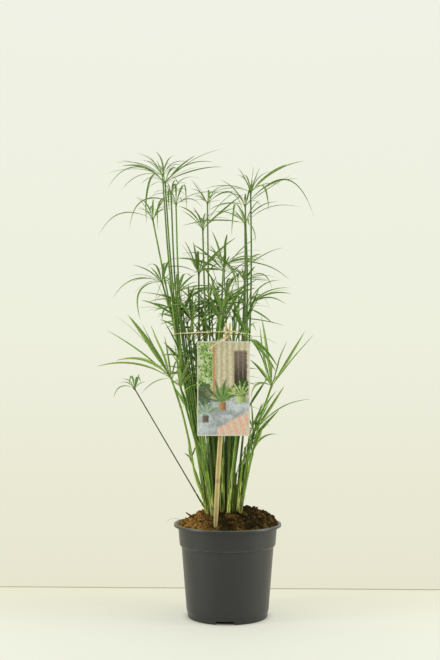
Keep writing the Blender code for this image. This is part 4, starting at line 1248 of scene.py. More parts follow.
@dataclass
class Foliage:
    """Draws blades, stalks and sheaths into a surface, with one source of chance."""

    surface: Surface
    seed: int
    thickness: float = 0.3 * MM
    fold: float = 0.32
    keel: float = math.sin(1.0)
    steps: int = 22
    section: tuple[Pair, ...] = ((1, 0), (0.5, 0), (0, 0), (-0.5, 0), (-1, 0), (-0.5, 1), (0, 1), (0.5, 1))
    wave: Pair = (0.004, 0.014)
    waves: Pair = (0.8, 1.7)
    sag: Pair = (-0.008, 0.01)
    twist: Pair = (-0.3, 0.3)
    corner_height: float = 0.07
    sheath_sides: int = 14
    sheath_rings: int = 12
    chance: random.Random = field(init=False)

    def __post_init__(self) -> None:
        """Start the source of chance."""
        self.chance = random.Random(self.seed)

    def pick(self, span: Pair) -> float:
        """A number from this range."""
        return self.chance.uniform(*span)

    def heading(self) -> float:
        """An angle all round."""
        return self.chance.uniform(0.0, math.tau)

    def grown(self, habit: Habit, heart: Array, tip: Array, reach: float,
              root: Optional[Array] = None) -> Blade:
        """A blade of this habit from its place to its tip.

        Args:
            habit: How it arches, and its width and turn.
            heart: Where its line is measured from.
            tip: Its tip.
            reach: Its length, which sets how high it arches.
            root: Where it starts, if not at the heart.

        Returns:
            The blade.
        """
        crest = heart + (tip - heart) * habit.bend + UP * reach * self.pick(habit.arch)
        width, turn = self.pick(habit.width) * MM, self.pick(habit.turn)
        return Blade(heart if root is None else root, crest, tip, width, turn)

    def blade(self, blade: Blade, look: int = 0, girth: float = 1.0) -> None:
        """Draw one keeled, tapering blade.

        Args:
            blade: Its line, width and turn.
            look: The number of its material.
            girth: Factor on its width.
        """
        t = np.linspace(0.0, 1.0, self.steps) ** 0.92
        line = blade.line(t)
        flat = blade.flat(unit(np.gradient(line, axis=0)))
        wave = self.pick(self.wave) * blade.length
        phase, turns = self.heading(), self.pick(self.waves)
        sway = wave * np.sin(math.tau * turns * t + phase) * (4.0 * t * (1.0 - t))
        line = line + flat * sway[:, None]
        line[:, 2] += self.pick(self.sag) * blade.length * np.sin(math.pi * t)
        runs = unit(np.gradient(line, axis=0))
        turn = blade.turn * (1.0 + 1.25 * ease(0.05, 0.5, t)) + self.pick(self.twist) * ease(0.3, 1.0, t)
        sides = turned(blade.flat(runs), runs, turn)
        ups = np.cross(runs, sides)
        share = (0.34 + 0.66 * ease(0.0, 0.3, t)) * np.maximum(1.0 - t**3.4, 0.0) ** 0.85
        half = 0.5 * blade.width * girth * share
        fold = self.keel * (self.fold * (1.0 - 0.6 * ease(0.0, 0.7, t)) + 0.1)
        tone = self.chance.random()
        lines, marks = [], []
        for across, under in self.section:
            height = abs(across) * half * fold - under * self.thickness * (0.25 + 0.75 * share)
            lines.append(line + sides * (across * half)[:, None] + ups * height[:, None])
            marks.append(marked(across, t, tone))
        self.surface.skin(lines, marks, look, pointed=True)

    def stalk(self, line: StalkLine, look: int, soil: float, sides: int = 12) -> None:
        """Draw a stem with three blunt corners.

        Args:
            line: Its middle line and half thickness.
            look: The number of its material.
            soil: Height of the soil at its foot.
            sides: Points round it.
        """
        runs, across = carried(line.points, RIGHT)
        start, tone = self.heading(), self.chance.random()
        lines, marks = [], []
        for angle in all_round(sides):
            reach = line.radii * (1.0 + self.corner_height * math.cos(3.0 * angle + start))
            out = turned(across, runs, angle + math.pi / 2.0)
            lines.append(line.points + out * reach[:, None])
            marks.append(marked(angle, line.points[:, 2] - soil, tone))
        self.surface.skin(lines, marks, look)

    def hub(self, middle: Array, line: StalkLine, look: int) -> None:
        """Draw the small knob that a crown's blades grow from.

        Args:
            middle: Its middle.
            line: The line of the stem that it ends.
            look: The number of its material.
        """
        heights = np.array((-6.0, -3.0, -0.5, 1.5, 3.2, 4.2)) * MM
        full, neck = HUB_RADIUS, line.radii[-1]
        radii = np.array((neck * 0.95, neck * 1.08, full, full, 0.57 * full, 0.1 * full))
        knob = StalkLine(middle + line.axis * heights[:, None], radii)
        self.stalk(knob, look, float(middle[2]) - PAST_FOOT)

    def sheath(self, line: StalkLine, top: float, look: int, spare: float, slant: float = 0.22) -> None:
        """Draw a thin sheath that wraps a stem's foot and ends in a slanting mouth.

        Args:
            line: The stem's line.
            top: Length of the sheath.
            look: The number of its material.
            spare: How far it stands off the stem.
            slant: How much lower its mouth is on one side, as a share of its length.
        """
        run = run_of(line.points)
        front, tone = self.heading(), self.chance.random()
        levels = np.linspace(0.0, 1.0, self.sheath_rings)
        lines, marks = [], []
        for angle in all_round(self.sheath_sides):
            lower = slant * (0.5 - 0.5 * math.cos(angle - front)) ** 1.5
            at = levels * top * (1.0 - lower)
            middle, radius = at_steps(at, run, line.points), np.interp(at, run, line.radii)
            runs, across = carried(middle, RIGHT)
            out = turned(across, runs, angle + math.pi / 2.0)
            reach = radius + spare * (0.6 + 0.4 * ease(0.7, 1.0, levels)) + 0.4 * spare * (1.0 - levels)
            reach[-1] = radius[-1] * 0.8
            lines.append(middle + out * reach[:, None])
            marks.append(marked(angle, levels, tone))
        self.surface.skin(lines, marks, look)


class PlantMaterials:
    """The materials that the plant's pieces share, by the age of the growth, with a darker stem copy that is
    painted shade.
    """

    def __init__(self) -> None:
        """Build all of them."""
        grown = LeafFinish("grown_blade", (0.21, 0.31, 0.06), (0.2, 0.32, 0.066), (0.085, 0.17, 0.028))
        young = LeafFinish("young_blade", (0.31, 0.41, 0.09), (0.3, 0.41, 0.1), (0.115, 0.2, 0.034))
        leaf, young_leaf = grown.material(), young.material()
        self.leaves = {age: young_leaf if age is Age.YOUNG else leaf for age in Age}
        stalks = {
            Age.GROWN: ((0.19, 0.17, 0.045), (0.27, 0.34, 0.065), (0.2, 0.33, 0.06), (0.055, 0.14, 0.014)),
            Age.YOUNG: ((0.2, 0.19, 0.045), (0.27, 0.36, 0.05), (0.23, 0.38, 0.045), (0.075, 0.17, 0.012)),
            # Painted shade: darker copies of the stem colours, for the thin stems that stand behind the
            # others.
            Age.SHADED_BEHIND: ((0.08, 0.06, 0.022), (0.08, 0.11, 0.018), (0.12, 0.2, 0.035), (0.045, 0.1, 0.012)),
            Age.DRYING: ((0.12, 0.09, 0.04), (0.1, 0.11, 0.045), (0.12, 0.13, 0.065), (0.055, 0.06, 0.035)),
        }
        self.stalks = {age: StalkFinish(f"{age.value}_stem", *colours).material()
                       for age, colours in stalks.items()}
        self.sheath = SheathFinish().material()


@dataclass
class LeafCrown:
    """The spray of blades on top of one stem, with its small hub."""

    number: int
    age: Age
    between: int
    inner: int
    hub_rise: float = 3.3 * MM
    clear_top: float = 620.0 * MM
    girth_heights: tuple[float, ...] = (430.0 * MM, 500.0 * MM, 620.0 * MM, 680.0 * MM)
    girths: tuple[float, ...] = (1.16, 1.12, 1.1, 0.85)
    filler: Habit = Habit((0.7, 1.15), (-0.25, 0.3), (0.1, 0.32), (0.9, 1.6), (-0.5, 0.5))
    heart: Habit = Habit((0.15, 0.4), (0.5, 1.0), (0.12, 0.3), (0.9, 1.4), (-0.6, 0.6), 0.4)
    nearer: Pair = (0.3, 0.7)
    heart_lean: Pair = (0.25, 1.0)

    @property
    def node(self) -> str:
        """Its CAD node."""
        return f"leaf_crown_{self.number:02d}"

    def _between(self, foliage: Foliage, blades: Sequence[Blade], limit: Array) -> list[Blade]:
        """Thinner blades that fill the gaps round the crown.

        Args:
            foliage: Where the chance comes from.
            blades: The blades that the solid has.
            limit: Lowest and highest corner that the tips keep within.

        Returns:
            The further blades.
        """
        made = []
        for _ in range(self.between):
            first = foliage.chance.randrange(len(blades))
            one, two = blades[first], blades[(first + 1) % len(blades)]
            share = foliage.pick(self.nearer)
            run = unit(one.tip - one.root) * share + unit(two.tip - two.root) * (1.0 - share)
            run[2] += foliage.pick(self.filler.rise)
            reach = min(one.length, two.length) * foliage.pick(self.filler.reach)
            root = one.root * share + two.root * (1.0 - share)
            tip = np.clip(root + unit(run) * reach, *limit)
            made.append(foliage.grown(self.filler, root, tip, reach))
        return made

    def _inner(self, foliage: Foliage, blades: Sequence[Blade], hub: Array,
               limit: Array) -> list[Blade]:
        """Short, steeper blades in the crown's heart.

        Args:
            foliage: Where the chance comes from.
            blades: The blades that the solid has.
            hub: The middle of the hub.
            limit: Lowest and highest corner that the tips keep within.

        Returns:
            The further blades.
        """
        made = []
        usual = float(np.median([blade.length for blade in blades]))
        for _ in range(self.inner):
            angle, lean = foliage.heading(), foliage.pick(self.heart_lean)
            run = np.array((math.cos(angle) * lean, math.sin(angle) * lean, foliage.pick(self.heart.rise)))
            root = hub + unit(run) * np.array((1.0, 1.0, 0.4)) * HUB_RADIUS * 0.5
            reach = usual * foliage.pick(self.heart.reach)
            tip = np.clip(root + unit(run) * reach, *limit)
            made.append(foliage.grown(self.heart, root, tip, reach))
        return made

    def build(self, materials: PlantMaterials, stem: StalkLine) -> Object:
        """Build the crown on its stem's top.

        Args:
            materials: The plant's materials.
            stem: The stem's line.

        Returns:
            The crown's piece.
        """
        hub = stem.beyond(self.hub_rise)
        solid, surface = Solid(self.node), Surface()
        blades = blades_of(solid, hub)
        foliage = Foliage(surface, 100 + self.number)
        limit = np.array((solid.low, solid.high))
        girth = float(np.interp(hub[2], self.girth_heights, self.girths))
        for blade in blades:
            foliage.blade(blade, girth=girth)
        extra = self._between(foliage, blades, limit)
        if hub[2] < self.clear_top:
            extra += self._inner(foliage, blades, hub, limit)
        for blade in extra:
            foliage.blade(blade, girth=girth)
        foliage.hub(hub, stem, 1)
        LOG.info("%s has %d measured blades", self.node, len(blades))
        looks = (materials.leaves[self.age], materials.stalks[self.age])
        return surface.piece(f"crown_{self.number:02d}", looks, Slot.LEAF, (self.node,))


@dataclass
class Stem:
    """One stem from the soil to its crown, with the sheaths round its foot."""

    number: int
    age: Age
    slim_heights: tuple[float, ...] = (0.0, 90.0 * MM, 200.0 * MM)
    slim: tuple[float, ...] = (0.82, 0.88, 1.0)
    sheath_length: Pair = (75.0, 120.0)
    sheath_most: float = 0.24
    outer_share: Pair = (0.4, 0.6)
    line: StalkLine = field(init=False)

    @property
    def node(self) -> str:
        """Its CAD node."""
        return f"stem_{self.number:02d}"

    def __post_init__(self) -> None:
        """Read the stem's line from its solid."""
        self.line = stalk_line(Solid(self.node).points)

    def build(self, materials: PlantMaterials) -> Object:
        """Build the stem and its sheaths.

        Args:
            materials: The plant's materials.

        Returns:
            The stem's piece.
        """
        surface = Surface()
        foliage = Foliage(surface, 300 + self.number)
        soil, top = float(self.line.points[0][2]), float(self.line.points[-1][2])
        fine = self.line.sunk().fine(44)
        slim = np.interp(fine.points[:, 2] - soil, self.slim_heights, self.slim)
        base = StalkLine(fine.points, fine.radii * slim)
        foliage.stalk(base, 0, soil)
        reach = min(self.sheath_most * (top - soil), foliage.pick(self.sheath_length) * MM)
        foliage.sheath(base, reach, 1, 0.35 * MM)
        foliage.sheath(base, reach * foliage.pick(self.outer_share), 1, 0.75 * MM, 0.35)
        looks = (materials.stalks[self.age], materials.sheath)
        return surface.piece(f"stalk_{self.number:02d}", looks, Slot.STEM, (self.node,))


@dataclass
class YoungShoot:
    """A young shoot, whose first blades still stand close together."""

    number: int
    hub_rise: float = 3.0 * MM
    girth: float = 1.35
    inner_width: float = 0.6

    @property
    def node(self) -> str:
        """Its CAD node."""
        return f"shoot_{self.number:02d}"

    def build(self, materials: PlantMaterials) -> Object:
        """Build the shoot in one piece.

        Args:
            materials: The plant's materials.

        Returns:
            The shoot's piece.
        """
        solid, surface = Solid(self.node), Surface()
        line = stalk_line(solid.points)
        hub, full = line.beyond(self.hub_rise), line.sunk().fine(26)
        foliage = Foliage(surface, 500 + self.number)
        foliage.stalk(full, 1, float(line.points[0][2]))
        foliage.hub(hub, line, 1)
        for blade in blades_of(solid, hub):
            foliage.blade(blade, girth=self.girth)
            crest, tip = (blade.root + blade.crest) / 2.0, (blade.crest + blade.tip) / 2.0
            foliage.blade(Blade(blade.root, crest, tip, blade.width * self.inner_width, -blade.turn))
        reach = line.points[-1][2] - line.points[0][2]
        foliage.sheath(full, reach * 0.97, 1, 0.5 * MM, 0.2)
        foliage.sheath(full, reach * 0.5, 2, 0.9 * MM, 0.4)
        looks = (materials.leaves[Age.YOUNG], materials.stalks[Age.YOUNG], materials.sheath)
        return surface.piece(f"young_shoot_{self.number:02d}", looks, Slot.SHOOT, (self.node,))


@dataclass
class Ground:
    """The soil solid's top, for what stands or lies on it."""

    tree: BVHTree = field(init=False)

    def __post_init__(self) -> None:
        """Index the soil's faces."""
        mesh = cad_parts["soil"].data
        self.tree = BVHTree.FromPolygons([vertex.co for vertex in mesh.vertices],
                                         [polygon.vertices for polygon in mesh.polygons])

    def height(self, x: float, y: float) -> float:
        """Height of the solid's top at a place."""
        hit = self.tree.ray_cast(Vector((x, y, 1.0)), Vector((0.0, 0.0, -1.0)))[0]
        return hit.z if hit is not None else 0.0


@dataclass(frozen=True)
class Scrap:
    """A scrap of stalk or straw on the soil, with its path and half thickness in millimetres."""

    path: tuple[Point, ...]
    radius: float
    look: int


@dataclass
class PottingSoil:
    """The heaped peat with its crumbs, root fibres and scraps."""

    edge_radius: float = 89.0 * MM
    edge_width: float = 5.0 * MM
    inwards: float = 0.985
    lumps: tuple[tuple[float, float, float, float, int, float], ...] = (
        (0.3, 140.0, 0.8, 2.0, 4, 2.7 * MM), (0.7, 55.0, 0.9, 2.1, 3, 2.2 * MM))
    rings: int = 88
    sectors: int = 240
    sides: tuple[Pair, ...] = ((84.6 * MM, 158.0 * MM), (84.0 * MM, 150.0 * MM), (78.8 * MM, 120.0 * MM))
    foot_radius: float = 68.5 * MM
    foot_rise: float = 1.0 * MM
    crumbs: int = 2700
    fibres: int = 230
    fibre_steps: int = 6
    seed: int = 7
    scraps: tuple[Scrap, ...] = (
        Scrap(((-57.0, -3.0, -1.5), (-64.0, -3.5, 2.5), (-70.5, -4.5, 6.5), (-74.0, -4.0, 9.0)), 1.5, 0),
        Scrap(((-44.0, -60.0, -0.5), (-39.0, -58.0, 1.2), (-34.0, -58.5, 0.6)), 0.9, 1),
        Scrap(((42.0, -44.0, -0.5), (49.0, -42.0, 2.2), (54.0, -37.0, 0.5)), 0.9, 0),
        Scrap(((30.0, -66.0, -0.5), (36.0, -63.0, 1.4), (41.0, -64.0, 0.2)), 0.7, 1),
        Scrap(((-79.0, 12.0, -1.0), (-86.0, 8.0, 5.0), (-95.0, 2.0, 8.5), (-103.0, -2.0, 6.5),
               (-107.0, -1.0, 2.0)), 0.22, 1),
    )
    ground: Ground = field(default_factory=Ground)

    def top(self, x: float, y: float) -> float:
        """Height of the rough surface at a place.

        Args:
            x: To the right of the middle.
            y: Behind the middle.

        Returns:
            The height, with small and large lumps that are lower at the edge.
        """
        inside = min(1.0, max(0.0, (self.edge_radius - math.hypot(x, y)) / self.edge_width))
        rough = 0.0
        for layer, scale, fade, step, octaves, height in self.lumps:
            rough += noise.fractal(Vector((x, y, layer)) * scale, fade, step, octaves) * height
        return self.ground.height(x * self.inwards, y * self.inwards) + rough * (0.35 + 0.65 * inside)

    def _circle(self, radius: float) -> list[Pair]:
        """Places round the soil's middle."""
        return arc(0.0, 0.0, radius, all_round(self.sectors))

    def build_surface(self, material: Material) -> Object:
        """Build the rough top and the sides down to the pot's floor.

        Args:
            material: Moist peat.

        Returns:
            The heap.
        """
        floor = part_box("soil")[0].z + self.foot_rise
        radii = self.edge_radius * np.linspace(0.0, 1.0, self.rings + 1)[1:] ** 0.9
        rings = [[(x, y, self.top(x, y)) for x, y in self._circle(radius)] for radius in radii]
        for radius, height in (*self.sides, (self.foot_radius, floor)):
            rings.append([(x, y, height) for x, y in self._circle(radius)])
        points = np.array([(0.0, 0.0, self.top(0.0, 0.0)), *sum(rings, []), (0.0, 0.0, floor)])
        pairs = [(sector, (sector + 1) % self.sectors) for sector in range(self.sectors)]
        starts = [1 + row * self.sectors for row in range(len(rings))]
        faces = [(0, 1 + sector, 1 + after) for sector, after in pairs]
        for base, upper in zip(starts, starts[1:]):
            faces.extend((base + sector, upper + sector, upper + after, base + after)
                         for sector, after in pairs)
        faces.extend((starts[-1] + after, starts[-1] + sector, len(points) - 1) for sector, after in pairs)
        surface = Surface()
        surface.add(points, faces, np.full_like(points, 0.5))
        return surface.piece("peat_heap", (material,), Slot.SOIL, ("soil",))

    def build_crumbs(self, material: Material) -> Object:
        """Scatter crumbs of many sizes over the top.

        Args:
            material: Crumbly peat.

        Returns:
            The crumbs.
        """
        rng = np.random.default_rng(self.seed)
        ball = bmesh.new()
        bmesh.ops.create_icosphere(ball, subdivisions=1, radius=1.0)
        shape = np.array([vertex.co for vertex in ball.verts])
        faces = [[vertex.index for vertex in face.verts] for face in ball.faces]
        ball.free()
        surface = Surface()
        for _ in range(self.crumbs):
            reach = self.edge_radius * 0.98 * math.sqrt(rng.random())
            angle = rng.uniform(0.0, math.tau)
            x, y = reach * math.cos(angle), reach * math.sin(angle)
            size = (0.6 + 2.4 * rng.random() ** 4) * MM
            turn = np.array(Matrix.Rotation(rng.uniform(0.0, math.tau), 3, Vector(rng.normal(size=3))))
            lump = shape * (1.0 + rng.uniform(-0.38, 0.38, (len(shape), 1)))
            lump = (lump * size * rng.uniform(0.45, 1.45, 3)) @ turn.T
            place = np.array((x, y, self.top(x, y) + 0.25 * size))
            surface.add(lump + place, faces, np.tile((0.0, 0.0, rng.random()), (len(shape), 1)))
        return surface.piece("peat_crumbs", (material,), Slot.SOIL)

    def strand(self, surface: Surface, points: Array, radius: float, look: int, sides: int) -> None:
        """Draw one thin strand that narrows to its ends.

        Args:
            surface: Where it goes.
            points: Its middle line.
            radius: Its half thickness.
            look: The number of its material.
            sides: Points round it.
        """
        runs, across = carried(points, np.array((0.3, 0.2, 1.0)))
        share = np.linspace(0.0, 1.0, len(points))
        radii = radius * (0.35 + 0.65 * np.sin(math.pi * np.clip(share, 0.04, 0.96)) ** 0.5)
        lines = [points + turned(across, runs, angle) * radii[:, None] for angle in all_round(sides)]
        surface.skin(lines, [marked(0.0, 0.0, np.full_like(share, 0.5))] * sides, look)

    def build_fibres(self, materials: Sequence[Material]) -> Object:
        """Lay root fibres and a few scraps of stalk on the top.

        Args:
            materials: Root fibre and dry straw.

        Returns:
            The fibres and scraps.
        """
        rng = np.random.default_rng(self.seed + 1)
        surface = Surface()
        for _ in range(self.fibres):
            reach = self.edge_radius * 0.93 * math.sqrt(rng.random())
            angle, heading = rng.uniform(0.0, math.tau), rng.uniform(0.0, math.tau)
            x, y = reach * math.cos(angle), reach * math.sin(angle)
            step = rng.uniform(3.0, 11.0) * MM / (self.fibre_steps - 1)
            line = []
            for _ in range(self.fibre_steps):
                heading += rng.uniform(-0.7, 0.7)
                x += math.cos(heading) * step
                y += math.sin(heading) * step
                if math.hypot(x, y) > self.edge_radius * 0.97:
                    break
                line.append((x, y, self.top(x, y) + rng.uniform(0.1, 1.3) * MM))
            if len(line) > 2:
                self.strand(surface, np.array(line), rng.uniform(0.12, 0.3) * MM, int(rng.integers(0, 2)), 4)
        for scrap in self.scraps:
            line = through(np.array(scrap.path) * MM, 16)
            line[:, 2] += self.top(line[0, 0], line[0, 1])
            self.strand(surface, line, scrap.radius * MM, scrap.look, 7)
        return surface.piece("peat_fibres", materials, Slot.SOIL)


@dataclass
class NurseryPot:
    """The moulded pot, with its rolled lip, collar, foot notches and drain holes."""

    sides: int = 144
    height: float = 162.5 * MM
    rim: float = 94.9 * MM
    collar_top: float = 87.35 * MM
    collar_foot: float = 84.4 * MM
    collar_low: float = 125.2 * MM
    body_top: float = 81.45 * MM
    body_foot: float = 72.35 * MM
    body_low: float = 12.0 * MM
    base: float = 70.15 * MM
    wall: float = 1.6 * MM
    floor_top: float = 8.0 * MM
    floor_under: float = 6.2 * MM
    recess: float = 61.0 * MM
    boss: float = 16.0 * MM
    lip: float = 4.8 * MM
    mouth: float = 91.8 * MM
    flare: float = 3.8 * MM
    notches: int = 3
    notch_turn: float = math.radians(-4.0)
    notch_size: Point = (31.0 * MM, 30.0 * MM, 11.6 * MM)
    drains: int = 6
    drain_circle: float = 38.0 * MM
    drain_radius: float = 5.0 * MM
    drain_depth: float = 30.0 * MM
    bend_steps: int = 5
    sharp_from: float = math.radians(32.0)

    def _corners(self) -> list[Point]:
        """The corners of the pot's profile.

        Returns:
            Each corner's radius and height in metres, and its bend in millimetres.
        """
        low, lip = self.collar_low, self.height - self.lip
        inside = [
            (0.0, self.floor_top, 0.0), (self.base - self.wall, self.floor_top, 1.5),
            (self.body_foot - self.wall, self.body_low + 1.0 * MM, 1.0),
            (self.body_top - self.wall, low - 2.5 * MM, 1.0), (self.collar_foot - self.wall, low, 1.0),
            (self.collar_top - self.wall, self.height - self.flare, 2.0), (self.mouth, self.height, 0.8),
        ]
        rolled_lip = [
            (self.rim, self.height, 1.6), (self.rim, lip, 1.0), (self.rim - 1.4 * MM, lip, 0.3),
            (self.rim - 1.5 * MM, lip + 0.9 * MM, 0.3), (self.collar_top + 0.2 * MM, lip + 0.8 * MM, 1.0),
        ]
        collar_step = [
            (self.collar_foot + 0.3 * MM, low + 0.6 * MM, 0.6),
            (self.collar_foot - 0.2 * MM, low - 0.6 * MM, 0.5),
            (self.body_top + 0.5 * MM, low - 2.6 * MM, 0.4),
            (self.body_top + 0.45 * MM, low - 3.8 * MM, 0.3),
            (self.body_top - 0.2 * MM, low - 4.4 * MM, 0.5),
        ]
        foot = [
            (self.body_foot, self.body_low, 3.0), (self.base + 0.6 * MM, self.body_low - 3.5 * MM, 3.0),
            (self.base, 0.0, 1.2), (self.recess + 2.0 * MM, 0.0, 0.6), (self.recess, self.floor_under, 1.0),
            (self.boss, self.floor_under, 0.8), (self.boss, 0.0, 0.6), (0.0, 0.0, 0.0),
        ]
        return inside + rolled_lip + collar_step + foot

    def profile(self) -> Array:
        """The profile from the middle of the floor, up the inside, over the lip and under the foot.

        Returns:
            A radius and a height a point.
        """
        corners = self._corners()
        places = np.array(corners)[:, :2]
        points = [places[0]]
        for back, here, ahead, corner in zip(places, places[1:], places[2:], corners[1:]):
            to_back, to_ahead = back - here, ahead - here
            room = min(corner[2] * MM, 0.45 * np.linalg.norm(to_back), 0.45 * np.linalg.norm(to_ahead))
            start, end = here + unit(to_back) * room, here + unit(to_ahead) * room
            for t in np.linspace(0.0, 1.0, self.bend_steps):
                points.append((1 - t) ** 2 * start + 2 * t * (1 - t) * here + t**2 * end)
        return np.array([*points, places[-1]])

    def build(self, material: Material) -> Object:
        """Build the pot.

        Args:
            material: The pot's plastic.

        Returns:
            The pot.
        """
        places = [(float(radius), 0.0, float(height)) for radius, height in self.profile()]
        mesh = bpy.data.meshes.new("pot_profile")
        mesh.from_pydata(places, [(index, index + 1) for index in range(len(places) - 1)], [])
        lathe = placed("pot_lathe", mesh)
        screw = lathe.modifiers.new("turn", "SCREW")
        screw.steps = self.sides
        screw.render_steps = self.sides
        screw.use_merge_vertices = True
        screw.merge_threshold = 0.01 * MM
        made = carved(lathe, self._openings())
        bpy.data.objects.remove(lathe)
        made.shade_smooth()
        made.set_sharp_from_angle(angle=self.sharp_from)
        return dress(made, "nursery_pot", (material,), ("pot",))

    def _openings(self) -> Mesh:
        """What is cut out of the foot and the floor.

        Returns:
            The notches and the drain holes in one mesh.
        """
        bm = bmesh.new()
        for angle in all_round(self.notches):
            turn = Matrix.Rotation(self.notch_turn + angle, 4, "Z")
            place = turn @ Matrix.Translation((0.0, -self.base, 0.0))
            bmesh.ops.create_cube(bm, size=1.0, matrix=place @ Matrix.Diagonal((*self.notch_size, 1.0)))
        for x, y in arc(0.0, 0.0, self.drain_circle, all_round(self.drains, 0.5)):
            bmesh.ops.create_cone(bm, cap_ends=True, segments=28, depth=self.drain_depth,
                                  radius1=self.drain_radius, radius2=self.drain_radius,
                                  matrix=Matrix.Translation((x, y, self.floor_under)))
        return shaped("openings", bm)


@dataclass
class BambooCane:
    """The split bamboo cane that carries the tag, slit at its top and sharpened at its foot."""

    half_width: float = 4.0 * MM
    half_depth: float = 2.8 * MM
    back_share: float = 0.78
    tip_length: float = 75.0 * MM
    slit_foot: float = 1.2 * MM
    slit_width: float = 4.4 * MM
    slit_length: float = 33.0 * MM
    slit_over: float = 0.5 * MM
    slit_reach: float = 12.0
    spread: float = 1.43
    bow: float = 2.4 * MM
    knots: Pair = (0.31, 0.63)
    knot_size: float = 0.008
    sides: int = 18
    rings: int = 150
    sharp_from: float = math.radians(38.0)
    foot: Array = field(init=False)
    top: Array = field(init=False)

    def __post_init__(self) -> None:
        """Read the cane's ends from its solid."""
        points = Solid("stake").points
        order = points[np.argsort(points[:, 2])]
        self.foot = order[:8].mean(axis=0)
        high = points[points[:, 2] > points[:, 2].max() - 2.0 * MM]
        self.top = (high.min(axis=0) + high.max(axis=0)) / 2.0

    def at(self, height: float) -> Array:
        """Middle of the cane at a height."""
        return self.foot + (self.top - self.foot) * (height - self.foot[2]) / (self.top[2] - self.foot[2])

    def build(self, material: Material) -> Object:
        """Build the cane as two halves that part at the slit.

        Args:
            material: Split bamboo.

        Returns:
            The cane.
        """
        along = unit(self.top - self.foot)
        broad = unit(RIGHT - along * along[0])
        deep = np.cross(along, broad)
        length = float(np.linalg.norm(self.top - self.foot))
        levels = np.linspace(0.0, length, self.rings)
        taper = 0.3 + 0.7 * ease(0.0, 1.0, levels / self.tip_length)
        spread = np.interp(levels, (length - self.slit_length, length), (1.0, self.spread))
        knots = sum(np.exp(-((levels / length - knot) / self.knot_size) ** 2) for knot in self.knots)
        bow = self.bow * (1.0 - ease(0.0, 0.42, levels / length))
        lines, marks = [], []
        for cos, sin in arc(0.0, 0.0, 1.0, all_round(self.sides)):
            size = taper * (1.0 + 0.05 * wavering(cos, sin, levels * 38.0) + 0.07 * knots)
            x = self.half_width * math.copysign(abs(cos) ** 0.8, cos) * size * spread + bow
            y = self.half_depth * math.copysign(abs(sin) ** 0.85, sin) * size
            if sin < 0.0:
                y = y * self.back_share
            lines.append(self.foot + along * levels[:, None] + broad * x[:, None] + deep * y[:, None])
            marks.append(marked(cos, levels / length, 0.6 * knots))
        surface = Surface()
        surface.skin(lines, marks)
        cane = surface.piece("bamboo_cane", (material,), Slot.CANE, ("stake",))
        made = carved(cane, self._slit(along, broad, deep))
        cane.modifiers.clear()
        cane.data = made
        made.set_sharp_from_angle(angle=self.sharp_from)
        return cane

    def _slit(self, along: Array, broad: Array, deep: Array) -> Mesh:
        """The wedge that is cut out of the cane's top.

        Args:
            along: The cane's direction, upwards.
            broad: The direction across its face.
            deep: The direction through it.

        Returns:
            The wedge's mesh.
        """
        bm = bmesh.new()
        foot, top = self.slit_foot * math.sqrt(0.5), self.slit_width * math.sqrt(0.5)
        bmesh.ops.create_cone(bm, cap_ends=True, segments=4, radius1=foot, radius2=top,
                              depth=self.slit_length, matrix=Matrix.Rotation(math.pi / 4.0, 4, "Z"))
        mesh = shaped("slit", bm)
        place = Matrix((broad, deep, along)).transposed().to_4x4()
        centre = self.top - along * (self.slit_length / 2.0 - self.slit_over)
        stretch = Matrix.Diagonal((1.0, self.slit_reach, 1.0, 1.0))
        mesh.transform(Matrix.Translation(Vector(centre)) @ place @ stretch)
        return mesh


